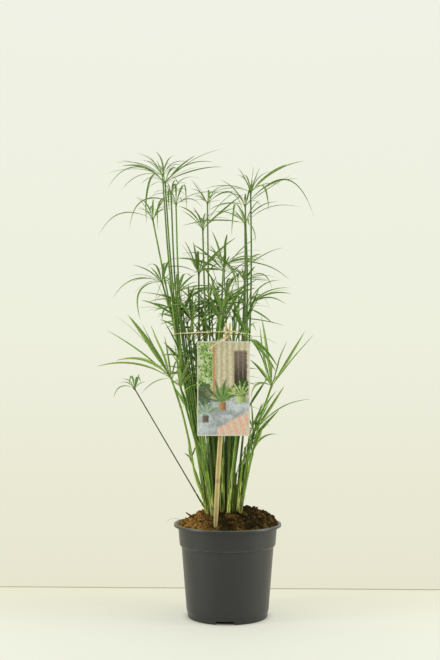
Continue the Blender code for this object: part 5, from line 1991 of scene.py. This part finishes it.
@dataclass
class HangTag:
    """The printed card with its punched hole and softened corners."""

    corner: float = 1.6 * MM
    corner_steps: int = 5
    hole_radius: float = 3.6 * MM
    hole_steps: int = 32
    half_thick: float = 0.3 * MM
    bow: float = 1.6 * MM
    cuts: int = 14
    sharp_from: float = math.radians(40.0)
    low: Array = field(init=False)
    high: Array = field(init=False)
    hole: Array = field(init=False)

    def __post_init__(self) -> None:
        """Read the card's box and its hole from its solid."""
        solid = Solid("tag")
        self.low, self.high = solid.low, solid.high
        flat, edge = solid.points[:, ::2], 1.0 * MM
        inside = ((flat > self.low[::2] + edge) & (flat < self.high[::2] - edge)).all(axis=1)
        self.hole = solid.points[inside].mean(axis=0)

    def _outline(self) -> list[Pair]:
        """Go round the card's edge and its rounded corners.

        Returns:
            The places, as (x, z).
        """
        right, left = self.high[0] - self.corner, self.low[0] + self.corner
        head, foot = self.high[2] - self.corner, self.low[2] + self.corner
        made = []
        for index, (x, z) in enumerate(((right, head), (left, head), (left, foot), (right, foot))):
            turns = math.pi / 2.0 * (index + np.linspace(0.0, 1.0, self.corner_steps))
            made.extend(arc(x, z, self.corner, turns))
        return made

    def _flat_card(self) -> Mesh:
        """The flat card with its hole, lying on its face.

        Returns:
            Its mesh.
        """
        curve = bpy.data.curves.new("card", "CURVE")
        curve.dimensions = "2D"
        curve.fill_mode = "BOTH"
        curve.extrude = self.half_thick
        hole = arc(self.hole[0], self.hole[2], self.hole_radius, all_round(self.hole_steps))
        for places in (self._outline(), hole):
            spline = curve.splines.new("POLY")
            spline.points.add(len(places) - 1)
            for point, (x, z) in zip(spline.points, places):
                point.co = (x, z, 0.0, 1.0)
            spline.use_cyclic_u = True
        source = placed("card", curve)
        mesh = settled(source)
        bpy.data.objects.remove(source)
        return mesh

    def _cut(self, bm: bmesh.types.BMesh) -> None:
        """Cut the flat card into strips both ways, so that it can bend.

        Args:
            bm: The flat card.
        """
        for axis, side in ((0, 0), (1, 2)):
            for step in range(1, self.cuts):
                place, normal = [0.0, 0.0, 0.0], [0.0, 0.0, 0.0]
                place[axis] = self.low[side] + (self.high[side] - self.low[side]) * step / self.cuts
                normal[axis] = 1.0
                bmesh.ops.bisect_plane(bm, geom=[*bm.verts, *bm.edges, *bm.faces], dist=0.001 * MM,
                                       plane_co=place, plane_no=normal)

    def _hang(self, bm: bmesh.types.BMesh) -> None:
        """Stand the flat card up and bow it.

        Args:
            bm: The flat card.
        """
        middle = float(self.low[1] + self.high[1]) / 2.0
        size = self.high - self.low
        for vertex in bm.verts:
            x, z, depth = vertex.co
            u = (x - self.low[0]) / size[0] * 2.0 - 1.0
            down = 1.0 - (z - self.low[2]) / size[2]
            curl = self.bow * 0.5 * ((u * u - 0.4) * (0.5 + 0.5 * down) - down**3)
            vertex.co = (x, middle - depth + curl * (0.2 + 0.8 * down), z)

    def build(self, front: Material, back: Material) -> Object:
        """Build the card, bowed a little as it hangs.

        Args:
            front: The printed face.
            back: Plain card, also for the edges.

        Returns:
            The tag.
        """
        mesh = self._flat_card()
        bm = bmesh.new()
        bm.from_mesh(mesh)
        bmesh.ops.remove_doubles(bm, verts=bm.verts, dist=0.01 * MM)
        self._cut(bm)
        self._hang(bm)
        bmesh.ops.recalc_face_normals(bm, faces=bm.faces)
        for face in bm.faces:
            face.material_index = 0 if face.normal.y < -0.5 else 1
            face.smooth = abs(face.normal.y) > 0.5
        bm.to_mesh(mesh)
        bm.free()
        mesh.set_sharp_from_angle(angle=self.sharp_from)
        return dress(mesh, "hang_tag", (front, back), ("tag",))


class Hold(Enum):
    """What a bend of raffia is measured from."""

    LEFT = "left end of the tie"
    RIGHT = "right end of the tie"
    CANE = "cane at the tie"
    SLIT = "slit of the cane"
    HOLE = "hole of the tag"


@dataclass(frozen=True)
class Tail:
    """A loose end of raffia, with its path and width in millimetres."""

    hold: Hold
    width: float
    path: tuple[Point, ...]


@dataclass
class Raffia:
    """The raffia tie round the stems and the loop that carries the tag."""

    tie_radius: float = 0.9 * MM
    tie_steps: int = 190
    loop_steps: int = 120
    slit_height: float = 488.5 * MM
    sides: int = 10
    seed: int = 21
    tails: tuple[Tail, ...] = (
        Tail(Hold.LEFT, 1.5, ((3.0, -3.5, -2.0), (0.6, -2.0, 0.6), (-1.2, -0.6, 6.0), (-2.5, -1.5, 12.5))),
        Tail(Hold.LEFT, 1.1, ((9.0, -3.0, 1.0), (3.0, -2.6, -1.0), (-1.0, -1.8, -2.0), (-4.0, -2.2, 0.5))),
        Tail(Hold.RIGHT, 1.5, ((-8.0, -2.4, 0.6), (-3.0, -2.6, 0.3), (0.8, -2.0, -1.6), (1.4, -2.2, -6.5))),
        Tail(Hold.CANE, 1.0,
             ((-30.0, -2.0, 0.0), (-33.0, -4.0, 3.0), (-36.5, -4.6, 0.6), (-33.6, -5.0, -2.0))),
    )
    loop: tuple[tuple[Hold, Point], ...] = (
        (Hold.SLIT, (0.0, 0.0, 0.0)), (Hold.SLIT, (0.0, -5.5, -0.5)), (Hold.SLIT, (-6.0, -10.5, -3.5)),
        (Hold.SLIT, (-16.0, -14.8, -9.5)), (Hold.HOLE, (10.0, -3.2, 6.5)), (Hold.HOLE, (1.5, -2.6, 1.0)),
        (Hold.HOLE, (0.0, 0.0, 0.2)), (Hold.HOLE, (0.0, 2.6, 1.2)), (Hold.HOLE, (8.0, 4.6, 8.5)),
        (Hold.HOLE, (18.0, 8.0, 14.0)), (Hold.SLIT, (-9.0, 2.5, -2.0)), (Hold.SLIT, (-3.5, 6.4, -0.2)),
        (Hold.SLIT, (-0.2, 4.6, 0.2)),
    )

    def ribbon(self, surface: Surface, points: Array, size: Pair, seed: int, twist: float = 1.2,
               closed: bool = False) -> None:
        """Draw one flat, slightly twisted strand of raffia.

        Args:
            surface: Where it goes.
            points: Its middle line.
            size: Its width and its thickness in millimetres.
            seed: What its chance starts from.
            twist: Full turns along it.
            closed: Whether it comes back to its start.
        """
        chance = random.Random(self.seed + seed)
        run = run_of(points)
        runs, across = carried(points, np.array((0.1, 0.2, 1.0)), closed)
        turn = twist * math.tau * run / run[-1] + chance.uniform(0.0, math.tau)
        offset = chance.uniform(0.0, 50.0)
        swell = wavering(offset, 0.0, run * 90.0)
        sideways = turned(across, runs, turn)
        upwards = np.cross(runs, sideways)
        half_width, half_thick = (0.5 * value * MM for value in size)
        lines, marks = [], []
        for angle in all_round(self.sides):
            fray = wavering(offset, angle * 1.4, run * 210.0)
            x = half_width * math.cos(angle) * (1.0 + 0.3 * swell + 0.22 * fray)
            y = half_thick * math.sin(angle) * (1.0 - 0.2 * swell + 0.25 * fray)
            lines.append(points + sideways * x[:, None] + upwards * y[:, None])
            marks.append(marked(angle, run * 10.0, offset))
        surface.skin(lines, marks, closed=closed)

    def tie_line(self) -> Array:
        """Middle of the tie, from the outline of its solid.

        Returns:
            The points of the closed line.
        """
        points = Solid("raffia_tie").points
        outline = points[convex_hull_2d([Vector(point[:2]) for point in points])]
        middle = (points.min(axis=0) + points.max(axis=0)) / 2.0
        line = []
        for point in outline:
            inward = unit((middle - point) * np.array((1.0, 1.0, 0.0)))
            near = points[np.linalg.norm(points[:, :2] - point[:2], axis=1) < 2.2 * self.tie_radius]
            line.append((*(point + inward * self.tie_radius)[:2], near[:, 2].mean()))
        return np.array(line)

    def build_tie(self, material: Material, cane: BambooCane) -> Object:
        """Build the tie, with its wrap round the cane and its loose ends.

        Args:
            material: Raffia.
            cane: The cane that is tied in.

        Returns:
            The tie.
        """
        surface = Surface()
        line = through(self.tie_line(), self.tie_steps, closed=True)
        self.ribbon(surface, line, (2.3, 0.9), 1, 3.0, True)
        lift = 1.6 * MM * wavering(0.0, 0.0, 0.11 * np.arange(self.tie_steps))
        lift = lift * (1.0 - np.linspace(0.0, 1.0, self.tie_steps) ** 6) - 0.5 * MM
        self.ribbon(surface, line + UP * lift[:, None], (1.2, 0.6), 2, 5.0, True)
        height = float(line[:, 2].mean())
        at_cane = cane.at(height)
        turns = np.linspace(0.0, 2.3 * math.tau, 70)
        wrap = np.stack((at_cane[0] + 4.9 * MM * np.cos(turns), at_cane[1] + 3.7 * MM * np.sin(turns),
                         height - 1.6 * MM + 3.2 * MM * turns / turns[-1]), axis=1)
        self.ribbon(surface, wrap, (1.6, 0.6), 3)
        left, right = line[line[:, 0].argmin()], line[line[:, 0].argmax()]
        starts = {Hold.LEFT: left, Hold.RIGHT: right, Hold.CANE: at_cane}
        for index, tail in enumerate(self.tails):
            points = starts[tail.hold] + np.array(tail.path) * MM
            self.ribbon(surface, through(points, 26), (tail.width, 0.5), 10 + index, 0.6)
        return surface.piece("raffia_tie_strands", (material,), Slot.RAFFIA, ("raffia_tie",))

    def build_loop(self, material: Material, cane: BambooCane, tag: HangTag) -> Object:
        """Build the loop: out of the cane's slit, over the tag, and through its hole.

        Args:
            material: Raffia.
            cane: The cane that it hangs from.
            tag: The tag that it carries.

        Returns:
            The loop.
        """
        surface = Surface()
        starts = {Hold.SLIT: cane.at(self.slit_height), Hold.HOLE: tag.hole}
        points = np.array([starts[hold] + np.array(step) * MM for hold, step in self.loop])
        line = through(points, self.loop_steps, closed=True)
        self.ribbon(surface, line, (2.4, 0.8), 30, 2.0, True)
        self.ribbon(surface, line + np.array((0.0, -0.5, 0.9)) * MM, (1.1, 0.5), 31, 3.0, True)
        return surface.piece("raffia_loop", (material,), Slot.RAFFIA, ("tag_loop",))


@dataclass(frozen=True)
class SideCulm:
    """A thin stem inside the clump: its place in the fan, how deep it stands and how high it reaches."""

    fan: float
    depth: float
    top: float = 0.0
    broad: bool = False
    age: Age = Age.GROWN

    @property
    def bare(self) -> bool:
        """Whether it has no crown of its own, as on the right behind the tag."""
        return self.fan > 0.3 and self.top < 460.0 * MM


@dataclass(frozen=True)
class Row:
    """A row of thin stems across the clump, with its depths and heights in millimetres."""

    count: int
    fan: Pair
    depth: Pair
    top: Pair
    crowding: float = 1.0
    age: Age = Age.GROWN


@dataclass
class Undergrowth:
    """The thinner stems and short blades that close up the clump between the measured stems."""

    heights: tuple[float, ...] = (170.0 * MM, 314.0 * MM, 495.0 * MM, 660.0 * MM)
    middles: tuple[float, ...] = (-13.0 * MM, -20.0 * MM, -27.0 * MM, -37.0 * MM)
    spreads: tuple[float, ...] = (22.0 * MM, 39.0 * MM, 61.0 * MM, 67.0 * MM)
    deepening: tuple[float, ...] = (0.9, 1.2, 1.0, 1.3)
    short: Row = Row(8, (-0.9, 0.9), (-24.0, -8.0), (330.0, 450.0))
    tall: Row = Row(10, (-0.95, 0.95), (-10.0, 26.0), (505.0, 610.0), 1.15)
    # Painted shade: this row stands behind the others and wears the darkest stem colours.
    shaded_behind: Row = Row(13, (-0.85, 0.75), (8.0, 24.0), (380.0, 560.0), age=Age.SHADED_BEHIND)
    broad: tuple[Pair, ...] = (
        (-1.0, 350.0), (-0.8, 395.0), (-0.95, 440.0), (-0.72, 478.0), (-0.98, 505.0), (-0.55, 520.0),
        (-0.2, 486.0), (0.1, 478.0), (0.3, 512.0), (0.62, 470.0), (0.9, 500.0), (-0.42, 430.0),
    )
    beside: tuple[Point, ...] = (
        (1.2, -15.0, 352.0), (1.36, -19.0, 292.0), (1.48, -23.0, 322.0), (1.3, -24.0, 268.0),
        (1.56, -17.0, 300.0), (1.02, -12.0, 246.0), (1.12, -18.0, 226.0),
    )
    crown: Habit = Habit((48.0, 98.0), (-0.15, 0.8), (0.08, 0.3), (2.4, 5.0), (-0.7, 0.7),
                         stray=(-0.4, 0.4), deep=0.7)
    tuft: Habit = Habit((50.0, 98.0), (1.0, 2.6), (0.02, 0.12), (4.2, 7.4), (-0.7, 0.7),
                        stray=(-0.3, 0.3), deep=0.6)
    drooping: tuple[Point, ...] = ((35.0, -16.0, 486.0), (64.0, -36.0, 484.0), (89.0, -46.0, 434.0))
    drooping_width: float = 7.6 * MM
    drooping_turn: float = 0.9
    steps: int = 7
    hub_rise: float = 2.0 * MM
    blade_start: float = 1.5 * MM
    blades: int = 18
    back: float = 93.0 * MM
    seed: int = 900
    ground: Ground = field(default_factory=Ground)

    def culms(self, chance: random.Random) -> list[SideCulm]:
        """The stems, row by row.

        Args:
            chance: What picks their places.

        Returns:
            All the thin stems.
        """
        made = self._row(self.short, chance) + self._row(self.tall, chance)
        for fan, top in self.broad:
            made.append(SideCulm(fan, chance.uniform(-22.0, 6.0) * MM, top * MM, True))
        made += self._row(self.shaded_behind, chance)
        for fan, depth, top in self.beside:
            made.append(SideCulm(fan, depth * MM, top * MM, True, Age.YOUNG))
        return made

    def _row(self, row: Row, chance: random.Random) -> list[SideCulm]:
        """The stems of one row, as chance places them.

        Args:
            row: The row.
            chance: What picks their places.

        Returns:
            The row's stems.
        """
        left, right = row.fan
        made = []
        for index in range(row.count):
            share = (index + chance.uniform(0.2, 0.8)) / row.count
            fan = left + (right - left) * share**row.crowding
            depth, top = chance.uniform(*row.depth) * MM, chance.uniform(*row.top) * MM
            made.append(SideCulm(fan, depth, top, age=row.age))
        return made

    def at(self, culm: SideCulm, height: float) -> Array:
        """Where the culm passes at a height.

        Args:
            culm: The culm.
            height: The height.

        Returns:
            The place.
        """
        middle, spread, deep = (np.interp(height, self.heights, values)
                                for values in (self.middles, self.spreads, self.deepening))
        return np.array((middle + spread * culm.fan, culm.depth * deep, height))

    def soil(self, culm: SideCulm) -> float:
        """Height of the soil at the culm's foot."""
        x, y, _ = self.at(culm, self.heights[0])
        return self.ground.height(x, y)

    def _spray(self, foliage: Foliage, hub: Array, habit: Habit, count: int,
               spread: float = math.tau) -> None:
        """A few blades on a stem's top.

        Args:
            foliage: What draws them.
            hub: Where they grow from.
            habit: How they grow, with their reach in millimetres.
            count: How many they are.
            spread: The angle that they share.
        """
        for index in range(count):
            angle = spread * (index + foliage.pick(habit.stray)) / count
            reach = foliage.pick(habit.reach) * MM
            run = unit(np.array((math.cos(angle), habit.deep * math.sin(angle), foliage.pick(habit.rise))))
            tip = hub + run * reach
            tip[1] = min(tip[1], self.back)
            foliage.blade(foliage.grown(habit, hub, tip, reach, hub + run * self.blade_start), 2)

    def _culm(self, foliage: Foliage, culm: SideCulm) -> None:
        """Draw one thin stem with its sheath and what grows on its top.

        Args:
            foliage: What draws it.
            culm: The stem.
        """
        soil = self.soil(culm)
        levels = np.linspace(soil - 6.0 * MM, culm.top, self.steps)
        points = np.array([self.at(culm, level) for level in levels])
        radii = np.linspace(foliage.pick((1.9, 2.6)), 1.0, self.steps) * MM
        if culm.age is Age.YOUNG:
            radii = np.linspace(2.5, 1.6, self.steps) * MM
        line = StalkLine(points, radii).fine(30)
        # The row behind wears the darker stem colours, painted shade, on its stems and sheaths.
        look = {Age.SHADED_BEHIND: 3, Age.YOUNG: 4}.get(culm.age, 0)
        foliage.stalk(line, look, soil)
        foliage.sheath(line, foliage.pick((50.0, 110.0)) * MM, 3 if culm.age is Age.SHADED_BEHIND else 1, 0.45 * MM)
        hub = line.beyond(self.hub_rise)
        foliage.hub(hub, line, look)
        if culm.age is Age.YOUNG:
            self._spray(foliage, hub, self.tuft, 2, 0.9)
        elif culm.broad and not culm.bare:
            self._spray(foliage, hub, self.tuft, foliage.chance.randint(4, 6))
        elif not culm.bare:
            self._spray(foliage, hub, self.crown, foliage.chance.randint(6, 8))

    def build_culms(self, materials: PlantMaterials) -> Object:
        """Build the thin stems.

        Args:
            materials: The plant's materials.

        Returns:
            All of them in one piece.
        """
        surface = Surface()
        foliage = Foliage(surface, self.seed)
        for culm in self.culms(random.Random(self.seed)):
            self._culm(foliage, culm)
        stalks, leaf = materials.stalks, materials.leaves[Age.GROWN]
        looks = (stalks[Age.GROWN], materials.sheath, leaf, stalks[Age.SHADED_BEHIND], stalks[Age.YOUNG])
        return surface.piece("side_culms", looks, Slot.STEM)

    def build_blades(self, materials: PlantMaterials) -> Object:
        """Build the short blades that stand up from the clump's foot.

        Args:
            materials: The plant's materials.

        Returns:
            All of them in one piece.
        """
        surface = Surface()
        foliage = Foliage(surface, self.seed + 1)
        for index in range(self.blades):
            fan = -1.0 + 2.0 * (index + foliage.pick((0.2, 0.8))) / self.blades
            culm = SideCulm(fan, foliage.pick((-27.0, 12.0)) * MM)
            root = self.at(culm, self.heights[0])
            root[2] = self.soil(culm) - 2.0 * MM
            tip = self.at(SideCulm(fan * 0.97, culm.depth), foliage.pick((235.0, 335.0)) * MM)
            stray = np.array((foliage.pick((-2.0, 2.0)), foliage.pick((-4.0, 0.0)), 0.0)) * MM
            width, turn = foliage.pick((2.8, 5.2)) * MM, foliage.pick((-0.5, 0.5))
            blade = Blade(root, (root + tip) / 2.0 + stray, tip, width, turn)
            foliage.blade(blade, foliage.chance.randint(0, 1))
        foliage.blade(Blade(*np.array(self.drooping) * MM, self.drooping_width, self.drooping_turn), 1)
        looks = (materials.leaves[Age.YOUNG], materials.leaves[Age.GROWN])
        return surface.piece("basal_blades", looks, Slot.LEAF)


@dataclass(frozen=True)
class Softbox:
    """A rectangular lamp turned to the plant: where it hangs, its size in metres and its power in watts."""

    name: str
    place: Point
    size: Pair
    power: float


@dataclass
class Studio:
    """The pale top, the soft lights and the camera."""

    top_back: float = 220.0 * MM
    top_skew: float = -0.032
    top_reach: float = 3.0
    joint_height: float = 1.8 * MM
    joint_shadow_colour: Colour = (0.22, 0.2, 0.14)
    lamps: tuple[Softbox, ...] = (
        Softbox("left_softbox", (-1.25, -0.5, 0.55), (0.3, 1.1), 9.0),
        Softbox("right_softbox", (1.4, -0.3, 0.55), (0.6, 1.1), 13.0),
        Softbox("front_softbox", (-0.3, -2.0, 1.7), (1.8, 1.0), 3.0),
        Softbox("overhead_softbox", (0.0, -0.1, 2.3), (2.8, 2.4), 9.0),
    )
    lamp_colour: Colour = (1.0, 0.99, 0.94)
    aim: Point = (0.0, 0.0, 0.35)
    paling: Pair = (-0.22, 0.34)
    backdrop: tuple[tuple[float, Colour], ...] = (
        (0.0, (0.797, 0.777, 0.612)), (0.47, (0.852, 0.868, 0.728)), (1.0, (0.87, 0.888, 0.78)),
    )
    dimming: tuple[float, ...] = (-0.8, -0.45, 0.3, 1.0)
    eye: Point = (-0.0134, -1.787, 0.4265)
    tilt: float = math.radians(2.48)
    lens: float = 54.65

    def build(self) -> None:
        """Set up the stage, lights, backdrop colour and camera."""
        self._top()
        self._backdrop()
        for lamp in self.lamps:
            self._hang(lamp)
        self._camera()
        bpy.context.scene.view_settings.view_transform = "Standard"

    def _top(self) -> None:
        """The top that the pot stands on, which ends a little behind the pot in a thin dark strip of painted
        shadow.
        """
        reach = self.top_reach
        left, right = ((x, self.top_back + self.top_skew * x) for x in (-reach, reach))
        plane = [(-reach, -reach, 0.0), (reach, -reach, 0.0), (*right, 0.0), (*left, 0.0)]
        # Painted shadow: a thin dark upright strip where the top meets the backdrop.
        joint = [(*left, 0.0), (*right, 0.0), (*right, self.joint_height), (*left, self.joint_height)]
        dark = StudioFinish("joint_shadow", self.joint_shadow_colour, self.joint_shadow_colour)
        for name, corners, look in (("pale_top", plane, StudioFinish()), ("top_joint_shadow", joint, dark)):
            mesh = bpy.data.meshes.new(name)
            mesh.from_pydata(corners, [], [(0, 1, 2, 3)])
            mesh.materials.append(look.material())
            placed(name, mesh)

    def _backdrop(self) -> None:
        """The pale backdrop, which pales upwards and lights the plant from all round."""
        world = bpy.data.worlds.new("studio")
        bpy.context.scene.world = world
        world.use_nodes = True
        nodes, link = world.node_tree.nodes, world.node_tree.links.new
        nodes.clear()
        kinds = ("OutputWorld", "Background", "TexCoord", "SeparateXYZ", "MapRange", "ValToRGB", "MapRange")
        made = [nodes.new("ShaderNode" + kind) for kind in kinds]
        output, seen, place, split, paling, ramp, dimming = made
        for name, value in zip(("From Min", "From Max"), self.paling):
            paling.inputs[name].default_value = value
        dimming.interpolation_type = "SMOOTHSTEP"
        for name, value in zip(("From Min", "From Max", "To Min", "To Max"), self.dimming):
            dimming.inputs[name].default_value = value
        ramp.color_ramp.elements.new(0.5)
        for element, (position, colour) in zip(ramp.color_ramp.elements, self.backdrop):
            element.position = position
            element.color = (*colour, 1.0)
        link(place.outputs["Generated"], split.inputs[0])
        link(split.outputs["Z"], paling.inputs["Value"])
        link(paling.outputs["Result"], ramp.inputs[0])
        link(ramp.outputs["Color"], seen.inputs["Color"])
        link(split.outputs["Y"], dimming.inputs["Value"])
        link(dimming.outputs["Result"], seen.inputs["Strength"])
        link(seen.outputs[0], output.inputs["Surface"])

    def _hang(self, lamp: Softbox) -> None:
        """Hang one softbox.

        Args:
            lamp: The softbox.
        """
        light = bpy.data.lights.new(lamp.name, "AREA")
        light.shape = "RECTANGLE"
        light.size, light.size_y = lamp.size
        light.energy = lamp.power
        light.color = self.lamp_colour
        made = placed(lamp.name, light)
        made.location = lamp.place
        made.rotation_euler = (Vector(self.aim) - Vector(lamp.place)).to_track_quat("-Z", "Y").to_euler()

    def _camera(self) -> None:
        """The camera, at the height of the tag and tilted up a little."""
        data = bpy.data.cameras.new("camera")
        data.lens = self.lens
        data.sensor_width = 36.0
        data.clip_start = 0.02
        camera = placed("camera", data)
        camera.location = self.eye
        camera.rotation_euler = (math.pi / 2.0 + self.tilt, 0.0, 0.0)
        bpy.context.scene.camera = camera


@dataclass
class Plant:
    """All the stems, crowns and shoots."""

    crowns: int = 25
    shoots: int = 3
    ages: dict[int, Age] = field(default_factory=lambda: {
        21: Age.YOUNG, 22: Age.YOUNG, 23: Age.DRYING, 24: Age.YOUNG, 25: Age.YOUNG})
    spare: dict[Age, tuple[int, int]] = field(default_factory=lambda: {
        Age.GROWN: (5, 1), Age.YOUNG: (1, 0), Age.DRYING: (0, 1)})

    def build(self) -> None:
        """Build every growth and report it."""
        materials = PlantMaterials()
        for number in range(1, self.crowns + 1):
            age = self.ages.get(number, Age.GROWN)
            stem = Stem(number, age)
            report(stem.build(materials))
            report(LeafCrown(number, age, *self.spare[age]).build(materials, stem.line))
        for number in range(1, self.shoots + 1):
            report(YoungShoot(number).build(materials))
        undergrowth = Undergrowth()
        report(undergrowth.build_culms(materials))
        report(undergrowth.build_blades(materials))


def main() -> None:
    """Build the dressed part round its frame."""
    logging.basicConfig(level=logging.INFO, format="%(name)s: %(message)s")
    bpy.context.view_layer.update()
    report(NurseryPot().build(PlasticFinish().material()))
    soil = PottingSoil()
    peat, crumbs = PeatFinish("moist_peat").material(), PeatFinish("peat_crumb", lift=0.05).material()
    report(soil.build_surface(peat))
    report(soil.build_crumbs(crumbs))
    raffia = RaffiaFinish().material()
    root = PeatFinish("root_fibre", (0.02, 0.012, 0.005), (0.07, 0.045, 0.018), (0.2, 0.12, 0.05)).material()
    straw = PeatFinish("dry_straw", (0.09, 0.06, 0.025), (0.24, 0.17, 0.075), (0.5, 0.38, 0.2)).material()
    report(soil.build_fibres((root, straw)))
    Plant().build()
    cane, tag, ties = BambooCane(), HangTag(), Raffia()
    report(cane.build(CaneFinish().material()))
    report(tag.build(PrintFinish().material(tag.low, tag.high), CardFinish().material()))
    report(ties.build_tie(raffia, cane))
    report(ties.build_loop(raffia, cane, tag))
    Studio().build()


if __name__ == "__main__":
    main()
